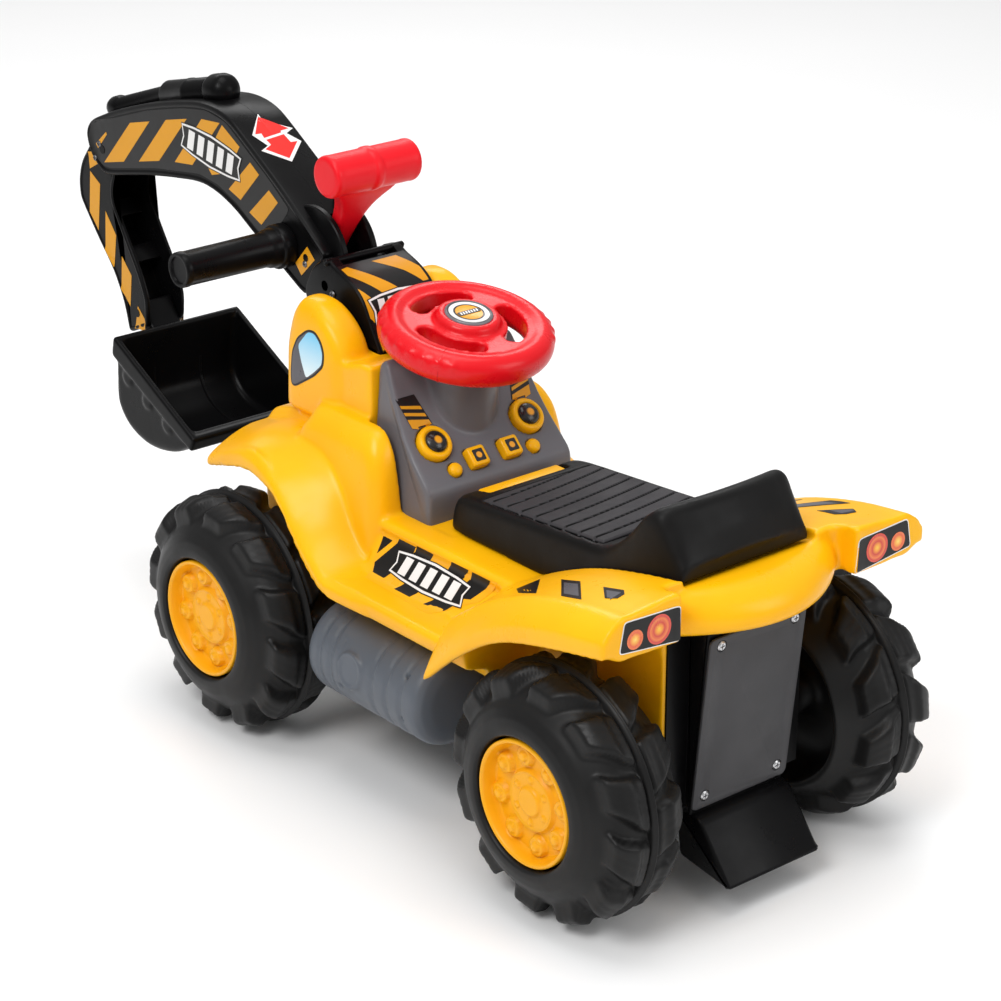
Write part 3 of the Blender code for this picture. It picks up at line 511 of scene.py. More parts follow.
class Face:
    """A flat drawing frame over a part of the object; it prints thin stickers onto what lies beneath."""

    def __init__(self, origin, across, up, target, body, slot, clear=40.0):
        self.origin = Vector(origin)
        self.across = Vector(across).normalized()
        self.normal = self.across.cross(Vector(up)).normalized()
        self.up = self.normal.cross(self.across)
        self.body = body
        self.slot = slot
        self.clear = clear
        self.tree = BVHTree.FromObject(target, bpy.context.evaluated_depsgraph_get())

    def point(self, u, v):
        return self.origin + self.across * u + self.up * v

    def flat(self, point):
        """A point of the frame as (u, v) on this face."""
        offset = Vector(point) - self.origin
        return (offset.dot(self.across), offset.dot(self.up))

    def onto(self, u, v, lift):
        start = self.point(u, v) + self.normal * self.clear + DRAWN_FROM
        hit = self.tree.ray_cast(start * MM, -self.normal, (self.clear + 50) * MM)[0]
        base = hit / MM - DRAWN_FROM if hit else self.point(u, v)
        return base + self.normal * lift

    def sticker(self, name, outlines, look, lift=0.25, step=4.0, half=0):
        """Lays outlines on the surface. With half 1 or -1, it keeps only what lies at u < 0 or u > 0."""
        bm = bmesh.new()
        for outline in outlines:
            bm.faces.new([bm.verts.new((p[0], p[1], 0.0)) for p in outline])
        us = [v.co.x for v in bm.verts]
        vs = [v.co.y for v in bm.verts]
        cuts = [((0, 0, 0), (1, 0, 0))] if half else []
        cuts += [
            ((min(us) + step * i, 0, 0), (1, 0, 0)) for i in range(1, int((max(us) - min(us)) / step) + 1)
        ]
        cuts += [
            ((0, min(vs) + step * i, 0), (0, 1, 0)) for i in range(1, int((max(vs) - min(vs)) / step) + 1)
        ]
        for where, normal in cuts:
            geometry = bm.verts[:] + bm.edges[:] + bm.faces[:]
            bmesh.ops.bisect_plane(bm, geom=geometry, plane_co=where, plane_no=normal, dist=0.001)
        if half:
            for face in list(bm.faces):
                if face.calc_center_median().x * half >= -0.2:
                    bm.faces.remove(face)
            bmesh.ops.delete(bm, geom=[v for v in bm.verts if not v.link_faces], context="VERTS")
        for vert in bm.verts:
            vert.co = self.onto(vert.co.x, vert.co.y, lift)
        for face in bm.faces:
            face.normal_update()
            if face.normal.dot(self.normal) < 0:
                face.normal_flip()
        obj = mesh_object(name, [bm])
        film = obj.modifiers.new("thickness", "SOLIDIFY")
        film.thickness = 0.15 * MM
        film.offset = -1.0
        apply_modifiers(obj)
        return fit(smooth(obj), self.body, look)


# Wheels

LUGS = 12
WHEEL_RADIUS = corners("tyre_front_left")[1].z / 2


def tyre_skin():
    """The tyre's visible profile from hub ring to inner bead: (radius, distance outboard of the rib)."""
    outer = [(45.2, 30.0), (45.6, 36.5), (47.0, 38.4), (52.0, 38.3), (58.0, 36.6), (64.0, 33.0), (69.0, 28.6)]
    shoulder = [(73.5, 24.0), (77.0, 19.5), (79.2, 15.0), (80.4, 10.0), (80.8, 5.5)]
    rib = [(81.2, 3.4), (85.5, 2.6), (87.2, 1.2), (87.6, 0.35), (88.6, 0.3)]
    half = [(r, -x) for r, x in reversed(rib)]
    inner = [
        (80.8, -5.5), (80.4, -10.0), (79.2, -15.0), (76.5, -19.5), (72.5, -24.5), (67.5, -30.5),
        (63.0, -36.5)
    ]
    bead = [(60.5, -40.2), (57.5, -40.6)]
    return outer + shoulder + rib + half + inner + bead


def dense(profile, longest):
    """The profile with points added, so that no step is longer than given."""
    result = [profile[0]]
    for start, end in zip(profile, profile[1:]):
        gap = math.dist(start, end)
        count = max(1, math.ceil(gap / longest))
        for i in range(1, count + 1):
            t = i / count
            result.append((start[0] + (end[0] - start[0]) * t, start[1] + (end[1] - start[1]) * t))
    return result


def ease(value, low, high):
    """Runs smoothly from 0 at low to 1 at high."""
    t = min(1.0, max(0.0, (value - low) / (high - low)))
    return t * t * (3 - 2 * t)


def lug_height(turn, radius, along):
    """How far the tread stands out: broad curved blocks meet the rib, half a pitch apart on its sides."""
    reach = abs(along)
    if radius < 62.0 or reach < 2.6:
        return 0.0
    pitch = 1.0 / LUGS
    lean = 0.34 * (reach / 26.0) ** 1.6
    phase = (turn / pitch + (0.0 if along > 0 else 0.5) - lean) % 1.0
    middle = abs(phase - 0.5) * 2.0
    width = 0.80 - 0.22 * ease(reach, 6.0, 24.0)
    block = 1.0 - ease(middle, width - 0.05, width + 0.07)
    height = 5.6 + 3.2 * ease(reach, 9.0, 15.0)
    ends = ease(reach, 2.6, 4.4) * (1.0 - ease(reach, 25.5, 28.5))
    step = 1.0 - 0.12 * ease(middle, 0.05, 0.12) * (1 - ease(middle, 0.12, 0.2))
    return height * block * ends * step


def tyre_part():
    """One tyre about the X axis, outboard along +X: treads outside, a dish and the hub tube inside."""
    skin = dense(tyre_skin(), 1.7)
    dish = [
        (56.0, -39.6), (51.0, -14.0), (47.0, -9.5), (14.5, -8.5), (13.0, -9.5), (13.0, -37.6), (5.6, -37.6)
    ]
    web = [(5.6, 19.6), (13.0, 19.6), (13.0, 0.0), (15.0, -4.0), (43.0, -4.0), (44.6, 2.0)]
    profile = skin + dish + web
    segments = LUGS * 24
    sections = []
    for i in range(segments):
        angle = 2 * math.pi * i / segments
        row = []
        for k, (radius, along) in enumerate(profile):
            rise = lug_height(i / segments, radius, along) if k < len(skin) else 0.0
            out = 0.35 * rise * ease(abs(along), 14.0, 22.0) * (1 if along > 0 else -1)
            radius = min(radius + rise, WHEEL_RADIUS - 0.1)
            row.append((along + out, radius * math.cos(angle), radius * math.sin(angle)))
        sections.append(row)
    return loft(sections, ring=True)


def cap_height(radius, angle):
    """The hubcap's face above its floor: boss, rings, studs and eight bolt pads."""
    height = 4.2 * (1 - ease(radius, 20.2, 21.8))
    height -= 1.0 * ease(radius, 10.2, 11.0) * (1 - ease(radius, 19.0, 19.8))
    height += 1.5 * (1 - ease(radius, 9.4, 10.2))
    studs = 6
    turn = (angle * studs / (2 * math.pi)) % 1.0 - 0.5
    aside = turn * 2 * math.pi / studs * 14.9
    height += 1.3 * (1 - ease(math.hypot(radius - 14.9, aside), 1.8, 2.8))
    pads = 8
    turn = (angle * pads / (2 * math.pi) + 0.25) % 1.0 - 0.5
    aside = turn * 2 * math.pi / pads * 31.0
    away = math.hypot(radius - 31.0, aside)
    height += 4.2 * (1 - ease(away, 6.6, 7.6))
    height += 2.0 * (1 - ease(away, 3.0, 3.7))
    height += 10.5 * ease(radius, 38.0, 41.4)
    return height


def hubcap_part():
    """The yellow dish, as a closed skin about the X axis."""
    rings = [0.02] + [0.9 * i for i in range(1, 47)] + [42.0, 42.8, 43.6]
    segments = 192
    bm = bmesh.new()
    rows = []
    for radius in rings:
        row = []
        for i in range(segments):
            angle = 2 * math.pi * i / segments
            x = 26.5 + cap_height(radius, angle)
            if radius > 43.0:
                x -= 0.7
            row.append(bm.verts.new((x, radius * math.cos(angle), radius * math.sin(angle))))
        rows.append(row)
    for radius, x in ((43.6, 23.5), (20.5, 23.5), (18.0, 27.0), (0.02, 27.0)):
        turn = [2 * math.pi * i / segments for i in range(segments)]
        rows.append([bm.verts.new((x, radius * math.cos(a), radius * math.sin(a))) for a in turn])
    for near, far in zip(rows, rows[1:]):
        for i in range(segments):
            j = (i + 1) % segments
            bm.faces.new((near[i], near[j], far[j], far[i]))
    bmesh.ops.remove_doubles(bm, verts=bm.verts, dist=0.05)
    bmesh.ops.recalc_face_normals(bm, faces=bm.faces)
    return bm


def build_wheels():
    tyre_source = tyre_part()
    cap_source = hubcap_part()
    for end in ("front", "rear"):
        for hand, side in HANDS:
            corner = f"{end}_{hand}"
            body = f"wheel_{corner}"
            turn = Matrix.Rotation(0.0 if side > 0 else math.pi, 4, "Z")
            place = Matrix.Translation(pivot(f"{body}_spin")) @ turn
            for source, kind, look, slot in (
                (tyre_source, "tyre", TYRE, "tyre_plastic"),
                (cap_source, "hubcap", YELLOW_CAP, "yellow_plastic"),
            ):
                obj = mesh_object(f"{kind}_skin_{corner}", [placed(source.copy(), place)])
                if kind == "tyre":
                    calm = obj.modifiers.new("calm", "SMOOTH")
                    calm.iterations = 3
                    calm.factor = 0.5
                    apply_modifiers(obj)
                obj.data.shade_smooth()
                fit(obj, body, look, [f"{kind}_{corner}"])
    tyre_source.free()
    cap_source.free()


# Body


def cab_side():
    """The flank beside the console, which leans in towards its shoulder."""
    return loft(
        [
            plan(28, 96, -170, -44, 12, 146),
            plan(28, 94, -168, -46, 13, 165),
            plan(28, 90, -160, -49, 14, 200),
            plan(28, 86, -150, -54, 14, 230),
            plan(28, 82, -142, -59, 14, 243),
            plan(30, 76, -138, -66, 10, 251),
            plan(34, 70, -134, -74, 8, 253),
        ],
        3,
    )


def cab_tower():
    """The round-topped pod beside the arm."""
    return loft(
        [
            plan(34, 68, -189, -115, 15, 236),
            plan(34, 68, -188.5, -115, 16, 258),
            plan(34.3, 67.8, -187.5, -116, 16, 280),
            plan(35, 67, -185, -120, 15.5, 294),
            plan(36.5, 66, -181, -129, 14, 306),
            plan(39, 63.5, -176, -140, 11, 314.5),
            plan(42.5, 60, -171, -149, 7, 319.3),
            plan(47, 55.5, -166, -156, 3.5, 321.3),
        ],
        4,
    )


FENDER_EDGE = [(-216, 118), (-160, 120), (-124, 122), (-100, 125), (-70, 131), (-54, 134), (-8, 131)]


def fender_reach(y):
    """How far out the front fender's edge stands."""
    for (y0, x0), (y1, x1) in zip(FENDER_EDGE, FENDER_EDGE[1:]):
        if y <= y1:
            return x0 + (x1 - x0) * max(0.0, (y - y0) / (y1 - y0))
    return FENDER_EDGE[-1][1]


def front_fender():
    """The band over the front wheel, level in front and sweeping down to the step behind it."""
    inner = [(-214, 216), (-190, 223), (-175, 228), (-121, 228), (-103, 224)]
    inner += [(-88, 213), (-78, 196), (-68, 178), (-50, 162), (-8, 159)]
    inner += [(-8, 142), (-60, 142), (-78, 172), (-94, 194), (-120, 206), (-165, 212), (-214, 204)]
    edge = [(-216, 198), (-190, 210), (-162, 219), (-131, 208), (-115, 194)]
    edge += [(-102, 180), (-88, 172), (-70, 164), (-54, 157), (-8, 157)]
    edge += [(-8, 147), (-50, 147), (-74, 155), (-97, 168), (-124, 196), (-160, 207), (-216, 190)]
    bend = [4, 14, 24, 30, 20, 16, 16, 18, 14, 2, 2, 14, 20, 20, 20, 20, 4]
    sections = []
    for x, share, crown in (
        (56, 0, 0), (78, 0, 0), (0, 0.3, 1.5), (0, 0.65, 1.8), (0, 0.9, 0.8), (0, 1, -1.5)
    ):
        outline = []
        for k, (a, b) in enumerate(zip(inner, edge)):
            rise = crown if k < 10 else -0.3 * crown
            outline.append((a[0] + (b[0] - a[0]) * share, a[1] + (b[1] - a[1]) * share + rise))
        row = rounded(outline, bend)
        sections.append([(x or 82 + (fender_reach(p[0]) - 82) * share, p[0], p[1]) for p in row])
    return loft(sections, 2)


def fender_rim():
    """The raised line just inside the front fender's outer edge."""
    path = [(-212, 200), (-190, 210), (-162, 218.5), (-146, 216), (-131, 208), (-115, 194.5)]
    path += [(-102, 181), (-88, 172.5), (-70, 164.5), (-58, 159)]
    sections = []
    for y, z in path:
        x = fender_reach(y)
        sections.append([
            (x - 6.5, y, z - 4), (x - 6.5, y, z + 2.6), (x - 2.5, y, z + 1.6), (x - 2.0, y, z - 5)
        ])
    return loft(sections, 3)


def sill():
    """The shelf, sloping side panel and step between the wheels."""
    outline = [
        (30, 194), (84, 194), (87, 188), (83, 186), (101, 161), (128, 160.5), (131, 157), (129, 146),
        (110, 142), (106, 131), (30, 131)
    ]
    outline = rounded(outline, [0, 4, 3, 3, 6, 4, 3, 4, 4, 4, 0], 3)
    return loft([[(x, y, z) for x, z in outline] for y in (-50, -20, 20, 60, 98)])


def rear_fender():
    """The arched fender over the rear wheel, pointed at its front tip."""
    wall = [(82, 188), (115, 206), (155, 222.5), (200, 233), (247, 241)]
    wall_under = [(247, 207), (205, 205), (159, 196), (116, 180), (84, 150)]
    crest = [(75, 174), (112, 201), (151, 220), (203, 233.5), (247, 238)]
    edge = [(68, 134), (104, 172), (145, 201), (195, 216), (247, 224)]
    edge_under = [(247, 213), (195, 203), (145, 190), (104, 164), (67, 131)]
    crest_under = [(247, 208), (203, 204), (150, 192), (104, 170), (74, 150)]
    bend = [8, 30, 30, 30, 2.5, 2.5, 30, 30, 30, 8]
    shoulder = [(y * 0.45 + v * 0.55, z * 0.45 + w * 0.55 + 1.5) for (y, z), (v, w) in zip(crest, edge)]
    sections = []
    inner = wall[:4] + [(229, 238)]
    inner_under = [(229, 207)] + wall_under[1:]
    for x, top, under in (
        (58, inner, inner_under),
        (76.2, inner, inner_under),
        (77.6, wall, wall_under),
        (84, wall, wall_under),
        (118, crest, crest_under),
        (127, crest, crest_under),
        (137, shoulder, edge_under),
        (143, edge, edge_under),
    ):
        sections.append([(x, p[0], p[1]) for p in rounded(top + under, bend)])
    return loft(sections, 2)


def rear_bumper():
    """The bowed band behind the seat, which stands a little proud of the fenders' ends."""
    half = 77
    sections = []
    for x in (-77, -76, -60, -40, -20, 0, 20, 40, 60, 76, 77):
        bow = 18 - 33 * (x / half) ** 2
        outline = [(214, 228.5), (222, 230.5), (232 + 0.8 * bow, 231)]
        outline += [(242 + 0.9 * bow, 223), (246 + bow, 212), (244 + bow, 203.5)]
        outline += [(236 + bow, 201.5), (214, 201.5)]
        sections.append([(x, p[0], p[1]) for p in rounded(outline, [1, 4, 9, 12, 10, 4, 3, 1])])
    return loft(sections, 2)


def front_face():
    """The rounded nose between the front wheels."""
    outline = [(-170, 114), (-214, 114), (-221.5, 122), (-221.5, 198), (-214, 224), (-170, 236)]
    return stack(rounded(outline, [2, 6, 6, 10, 12, 4]), rims([(4, 64), (0, 60)]))


def body_cutters():
    """The wheel wells, the console's place, the storage bin and the hollow inside."""
    cutters = []
    for end in ("front", "rear"):
        centre = pivot(f"wheel_{end}_left_spin")
        for low, high in ((63, 175), (-175, -63)):
            cutters.append(rod(97, (low, centre.y, centre.z), (high, centre.y, centre.z), 96))
    low, high = corners("console")
    cutters.append(block((low.x - 0.4, -86.4, DECK), (high.x + 0.4, 6, 340)))
    cutters.append(block((-60, -204, 100), (60, -105, 212)))
    cutters.append(block((-60, -110, 100), (60, 24, 189)))
    cutters.append(block((-60, 20, 100), (60, 176, 136)))
    cutters.append(block((-60, 172, 100), (60, 212, 200)))
    cutters.append(block((-45, 28, 140), (45, 168, 260)))
    seat_room = [(-10, DECK), (94, DECK), (207, 224.5), (226, 230.5), (226, 300), (-10, 300)]
    cutters.append(prism(seat_room, -61.5, 61.5))
    for y in (-30, 30):
        cutters.append(block((-35, -230, 152 + y / 2), (35, -219.3, 157 + y / 2)))
    return cutters


def build_body():
    tub = [
        (-172, 112), (-172, 236), (-168, 284), (-114, 285), (-97, 290), (-86.4, 290), (-86.4, DECK),
        (94, DECK), (207, 224), (216, 228), (216, 112)
    ]
    parts = [prism(tub, -64, 64), front_face()]
    for make in (cab_side, cab_tower, front_fender, fender_rim, sill, rear_fender):
        parts += both(make)
    parts.append(rear_bumper())
    shell = fused("body_skin", parts, 1.65, 4, body_cutters())
    trim = block((-36, -3.4, DECK - 0.2), (36, 9.8, 218.8))
    strip = softened(mesh_object("bin_edge", [trim]), 1.8, 3)
    fit(strip, "body", YELLOW)
    return fit(shell, "body", YELLOW, ["body_shell"])


# Underside


def along_y(centre):
    return Matrix.Translation(centre) @ Matrix.Rotation(-math.pi / 2, 4, "X")


def along_x(centre):
    return Matrix.Translation(centre) @ Matrix.Rotation(math.pi / 2, 4, "Y")


def build_tanks():
    radius = 35.0
    profile = [(0, -84), (22, -84), (29.5, -82), (33.5, -79), (radius, -75)]
    for dip in (-66, -53, -6, 10, 26):
        profile += [(radius, dip - 2.4), (radius - 1.7, dip - 1.1)]
        profile += [(radius - 1.7, dip + 1.1), (radius, dip + 2.4)]
    profile += [(radius, 37), (33.5, 41), (29.5, 44), (22, 46), (0, 46)]
    for hand, side in HANDS:
        centre = Vector((side * 95.0, 0.0, 93.0))
        out = Vector((side * math.cos(0.16), 0.0, math.sin(0.16)))
        boss = centre + Vector((0.0, -29.5, 0.0))
        parts = [placed(lathe(profile, 72), along_y(centre)), rod(13.5, boss + out * 25, boss + out * 36.2)]
        cutters = [rod(11.3, boss + out * 35.2, boss + out * 42)]
        for y in (-43, 27):
            for height in (21, -11):
                sink = Vector((side * math.sqrt(radius**2 - height**2), 0.0, height))
                spot = centre + Vector((0.0, y, 0.0)) + sink
                cutters.append(rod(2.1, spot - sink * 0.12, spot + sink * 0.2, 16))
        tank = fused(f"tank_skin_{hand}", parts, 1.3, 3, cutters)
        fit(tank, "body", TANK, [f"side_tank_{hand}"])


PLATE_TOP = Vector((0.0, 238.5, 193.5))
PLATE_FOOT = Vector((0.0, 225.5, 65.0))


def build_rear_support():
    """The black block behind the body with its foot, and the blank plate with its four screws."""
    layers = rims([(2.4, 42), (0.7, 41.3), (0, 39.6)])
    upper = stack(
        rounded([(216.3, 201), (236, 201), (223.2, 60), (208, 60), (216.3, 111)], [1, 2, 2, 2, 5]), layers
    )
    foot = stack(
        rounded([(208, 62), (223.2, 62.5), (231, 61), (262, 21), (213, 28)], [2, 2, 5, 4, 4]), layers
    )
    panel = block((-60.5, 214, 66), (60.5, 217.6, 203))
    piece("rear_block", [upper, foot, panel], "body", BLACK, "black_plastic", ["rear_support"], 50)
    slope = PLATE_TOP - PLATE_FOOT
    normal = Vector((0.0, slope.z, -slope.y)).normalized()
    turn = Matrix((Vector((-1, 0, 0)), slope.normalized(), normal)).transposed().to_4x4()
    centre = PLATE_FOOT.lerp(PLATE_TOP, 0.5)
    half = slope.length / 2
    plan_at = [
        plan(-43 + i, 43 - i, -half + i, half - i, 5, z, 5)
        for i, z in ((0, -1.7), (0, -0.7), (0.3, -0.2), (1.0, 0.0))
    ]
    plate = mesh_object("plate_skin", [placed(loft(plan_at), Matrix.Translation(centre) @ turn)])
    holes = []
    heads = []
    for row, share in (("upper", 0.95), ("lower", 0.075)):
        for hand, x in (("left", 33.0), ("right", -33.0)):
            spot = PLATE_FOOT.lerp(PLATE_TOP, share) + Vector((x, 0, 0))
            holes.append(rod(4.3, spot - normal * 0.9, spot + normal * 4, 24))
            heads.append((f"plate_screw_{row}_{hand}", spot - normal * 0.9, normal))
    carve(plate, holes)
    softened(plate, 0.35)
    fit(plate, "body", PLATE, ["rear_plate"])
    for name, spot, way in heads:
        screw(f"{name}_head", spot, way, 3.4, "body", [name])


def screw(name, spot, way, radius, body, replaces=(), look=STEEL):
    """A cross-head screw whose head stands on spot."""
    way = Vector(way).normalized()
    head = mesh_object(
        name, [rod(radius, Vector(spot) - way * 0.4, Vector(spot) + way * radius * 0.5, 28, radius * 0.25)]
    )
    turn = aimed(spot, Vector(spot) + way)
    slots = []
    for a, b in ((radius * 0.62, radius * 0.14), (radius * 0.14, radius * 0.62)):
        slots.append(placed(loft([plan(-a, a, -b, b, 0.05, z, 2) for z in (radius * 0.12, radius)]), turn))
    return fit(smooth(carve(head, slots)), body, look, replaces)


# Console, buttons and steering wheel

FACE_TOP = Vector((0.0, -50.0, 247.0))
FACE_FOOT = Vector((0.0, -20.0, 217.0))
BUTTONS = {
    "round_button_left": (42.0, 0.8),
    "round_button_right": (-42.0, 0.8),
    "square_button_left": (15.0, 0.36),
    "square_button_right": (-15.0, 0.36),
    "lamp_left": (35.5, 0.27),
    "lamp_right": (-35.5, 0.27),
}


def face_frame(x, share):
    """A matrix on the console's lower slope, Z out of it; share runs from its foot (0) to its top (1)."""
    slope = (FACE_TOP - FACE_FOOT).normalized()
    across = Vector((-1.0, 0.0, 0.0))
    point = FACE_FOOT.lerp(FACE_TOP, share) + Vector((x, 0.0, 0.0))
    columns = Matrix((across, slope, across.cross(slope))).transposed()
    return Matrix.Translation(point) @ columns.to_4x4()


def steering_frame():
    return Matrix.Translation(STEERING_CENTRE) @ Matrix.Rotation(-math.radians(12.0), 4, "X")


def build_console():
    outline = [(-86, 188), (-86, 291), (-83.5, 295), (-77, 295), (-50, 247), (-20, 217), (-19, 188)]
    outline = rounded(outline, [0, 3, 3, 5, 16, 6, 0], 5)
    layers = rims([(3.0, 66), (1.8, 65.7), (0.8, 65.0), (0.2, 64.0), (0, 62.8)])
    case = stack(outline, layers)
    for vert in case.verts:
        vert.co.x *= 1 - 0.15 * (max(0.0, vert.co.z - 200) / 95) ** 2
    axis = steering_frame()
    column = [
        (0, -86), (31.5, -86), (31, -66), (29.5, -48), (28.3, -30), (27.4, -14), (26.0, -12.5), (0, -12.5)
    ]
    parts = [case, placed(lathe(column, 96), axis)]
    cutters = [block((-80, -160, 180), (80, -86, 330))]
    for name, (x, share) in BUTTONS.items():
        if name.startswith("square"):
            hole = loft([plan(-8.1, 8.1, -8.1, 8.1, 2.6, z) for z in (-8.0, 9.0)])
        else:
            radius = 13.9 if name.startswith("round") else 5.7
            hole = lathe([(radius, -8.0), (radius, 9.0)], 40)
        cutters.append(placed(hole, face_frame(x, share)))
    skin = fused("console_skin", parts, 1.4, 3, cutters)
    fit(skin, "body", GREY, ["console"])
    return skin


def build_buttons():
    for name, (x, share) in BUTTONS.items():
        here = face_frame(x, share)
        body = "body" if name.startswith("lamp") else f"{name}_body"
        spot = here.translation
        if name.startswith("square"):
            half = 7.6
            rows = [(0.0, -9), (0.0, 3.4), (0.35, 4.6), (1.2, 5.3), (2.2, 5.5)]
            cap = loft([plan(-half + i, half - i, -half + i, half - i, 2.4, z, 5) for i, z in rows])
            mark = loft([plan(-4.4, 4.4, -4.6, 4.6, 1.0, z, 3) for z in (5.2, 5.75)])
            look = radial(f"{name}_print", spot, [(0, INK[1]), (6.1, INK[1]), (6.3, INK[0]), (12, INK[0])])
            prints = [("mark", mark, look)]
        elif name.startswith("round"):
            cap = lathe(
                [
                    (13.2, -9), (13.3, 2.0), (12.9, 3.6), (11.8, 4.7), (10.3, 5.1), (9.3, 4.8), (8.9, 4.0),
                    (0, 4.0)
                ],
                64
            )
            dome = lathe([(8.3, 3.6), (8.3, 5.0), (7.4, 6.0), (5.0, 7.2), (2.4, 7.9), (0, 8.1)], 48)
            look = radial(
                f"{name}_print", spot,
                [(0, INK[1]), (8.22, INK[1]), (8.34, INK[0]), (9.6, INK[0]), (10.2, INK[2]), (13, INK[2])]
            )
            prints = [("dome", dome, look)]
        else:
            cap = lathe([(5.2, -9), (5.2, 0.8), (4.6, 2.2), (3.2, 3.2), (1.6, 3.7), (0, 3.8)], 40)
            prints = []
        piece(f"{name}_cap", [placed(cap, here)], body, YELLOW, "yellow_plastic", [name], 50)
        for kind, part, look in prints:
            piece(f"{name}_{kind}", [placed(part, here)], body, look, "black_plastic", angle=50)


INK = [(0.012, 0.01, 0.01), (0.85, 0.36, 0.015), (0.2, 0.2, 0.22), (0.85, 0.84, 0.83)]
RIM_MIDDLE = (52.5, -0.5)


def rim_outline(grow=0.0, steps=24):
    return [
        (RIM_MIDDLE[0] + (10.4 + grow) * c, RIM_MIDDLE[1] + (12.0 + grow) * s)
        for c, s in circle(1.0, steps)
    ]


def wheel_slot(angle):
    """One of the steering wheel's three bean-shaped openings, about an angle in degrees, as a cutter."""
    inner, outer = 28.5, 42.0
    middle, radius = (inner + outer) / 2, (outer - inner) / 2
    low, high = angle - 33, angle + 33
    points = arc((0, 0), outer, low, high)
    points += arc(around(middle, high), radius, high + 22.5, high + 157.5, 6)
    points += arc((0, 0), inner, high, low)
    points += arc(around(middle, low), radius, low + 202.5, low + 337.5, 6)
    return loft([[(x, y, z) for x, y in points] for z in (-30.0, 30.0)])


def build_steering():
    axis = steering_frame() @ Matrix.Translation((0, 0, 4))
    rim = loft(
        [
            [(r * math.cos(a), r * math.sin(a), z) for r, z in rim_outline()]
            for a in [2 * math.pi * i / 96 for i in range(96)]
        ],
        ring=True,
    )
    disc = lathe([(0, -12), (20, -12), (31, -2), (50, -3), (50, 9.6), (44, 9.2), (28, 8.8), (0, 8.8)], 96)
    hub = lathe(
        [
            (0, -15.4), (12, -15.4), (18, -13), (24, -6), (25, 3), (23.8, 10.4), (23.0, 13.2), (21.6, 15.0),
            (19.8, 15.6), (0, 15.6)
        ],
        96
    )
    parts = [rim, disc, hub]
    for middle in (0, 180):
        for step in range(-4, 5):
            turn = math.radians(middle + step * 10.5)
            spot = Vector((58.0 * math.cos(turn), 58.0 * math.sin(turn), 3.6))
            bump = lathe(
                [(5.2 * math.sin(math.pi * k / 8), -5.2 * math.cos(math.pi * k / 8)) for k in range(9)], 16
            )
            parts.append(placed(bump, Matrix.Translation(spot)))
    cutters = [wheel_slot(angle) for angle in (30, 150, 270)]
    cutters.append(lathe([(17.6, 14.2), (17.6, 20.0)], 64))
    wheel = fused(
        "steering_skin", [placed(p, axis) for p in parts], 1.2, 4, [placed(c, axis) for c in cutters]
    )
    fit(wheel, "steering", RED, ["steering_wheel"])
    seam = []
    turn = math.radians(33)
    for shift in (-0.35, 0.35):
        row = []
        for r, z in rim_outline(0.3, 40):
            row.append((
                r * math.cos(turn) - shift * math.sin(turn), r * math.sin(turn) + shift * math.cos(turn), z
            ))
        seam.append(row)
    line = mesh_object("steering_seam", [placed(loft(seam), axis)])
    fit(line, "steering", RED)
    cap = lathe(
        [(0, 13.2), (17.2, 13.2), (17.2, 15.8), (16.7, 16.4), (15.9, 16.6), (15.3, 16.2), (0, 16.2)], 72
    )
    middle = axis @ Vector((0, 0, 16.2))
    stops = [
        (0, INK[1]), (9.6, INK[1]), (10.0, INK[0]), (11.0, INK[0]), (11.4, INK[3]), (14.3, INK[3]),
        (14.7, INK[0]), (17.4, INK[2])
    ]
    look = radial("hub_print", middle, stops)
    piece("steering_badge", [placed(cap, axis)], "steering", look, "badge_metal", ["steering_cap"])
    bars = [loft([plan(-9.4, 9.4, -2.4, 2.4, 1.6, z, 3) for z in (16.15, 16.45)])]
    band = mesh_object("steering_badge_band", [placed(b, axis) for b in bars])
    fit(band, "steering", INK_BLACK)
    ticks = []
    for i in range(-3, 4):
        x = i * 2.3
        ticks.append(loft([
            [(x + a + b * 0.25, b, z) for a, b in ((-0.6, -1.5), (0.6, -1.5), (0.6, 1.5), (-0.6, 1.5))]
            for z in (16.4, 16.6)
        ]))
    fit(
        mesh_object("steering_badge_ticks", [placed(b, axis) for b in ticks]), "steering", INK_WHITE,
    )


# Seat


def seat_row(y, half, foot, top, corner, lean=3.0, bow=0.0, crown=0.0):
    """One section of the lid across X: leaning sides, round shoulders, and a middle that bows to the rear."""
    outline = [(-half, foot), (-half + lean, top)]
    outline += [(x * (half - lean), top + crown * (1 - x * x)) for x in (-0.6, -0.3, 0.0, 0.3, 0.6)]
    outline += [(half - lean, top), (half, foot)]
    outline = rounded(outline, [0.5, corner, 4, 4, 4, 4, 4, corner, 0.5], 5)
    return [(x, y + bow * (1 - (x / half) ** 2), z) for x, z in outline]


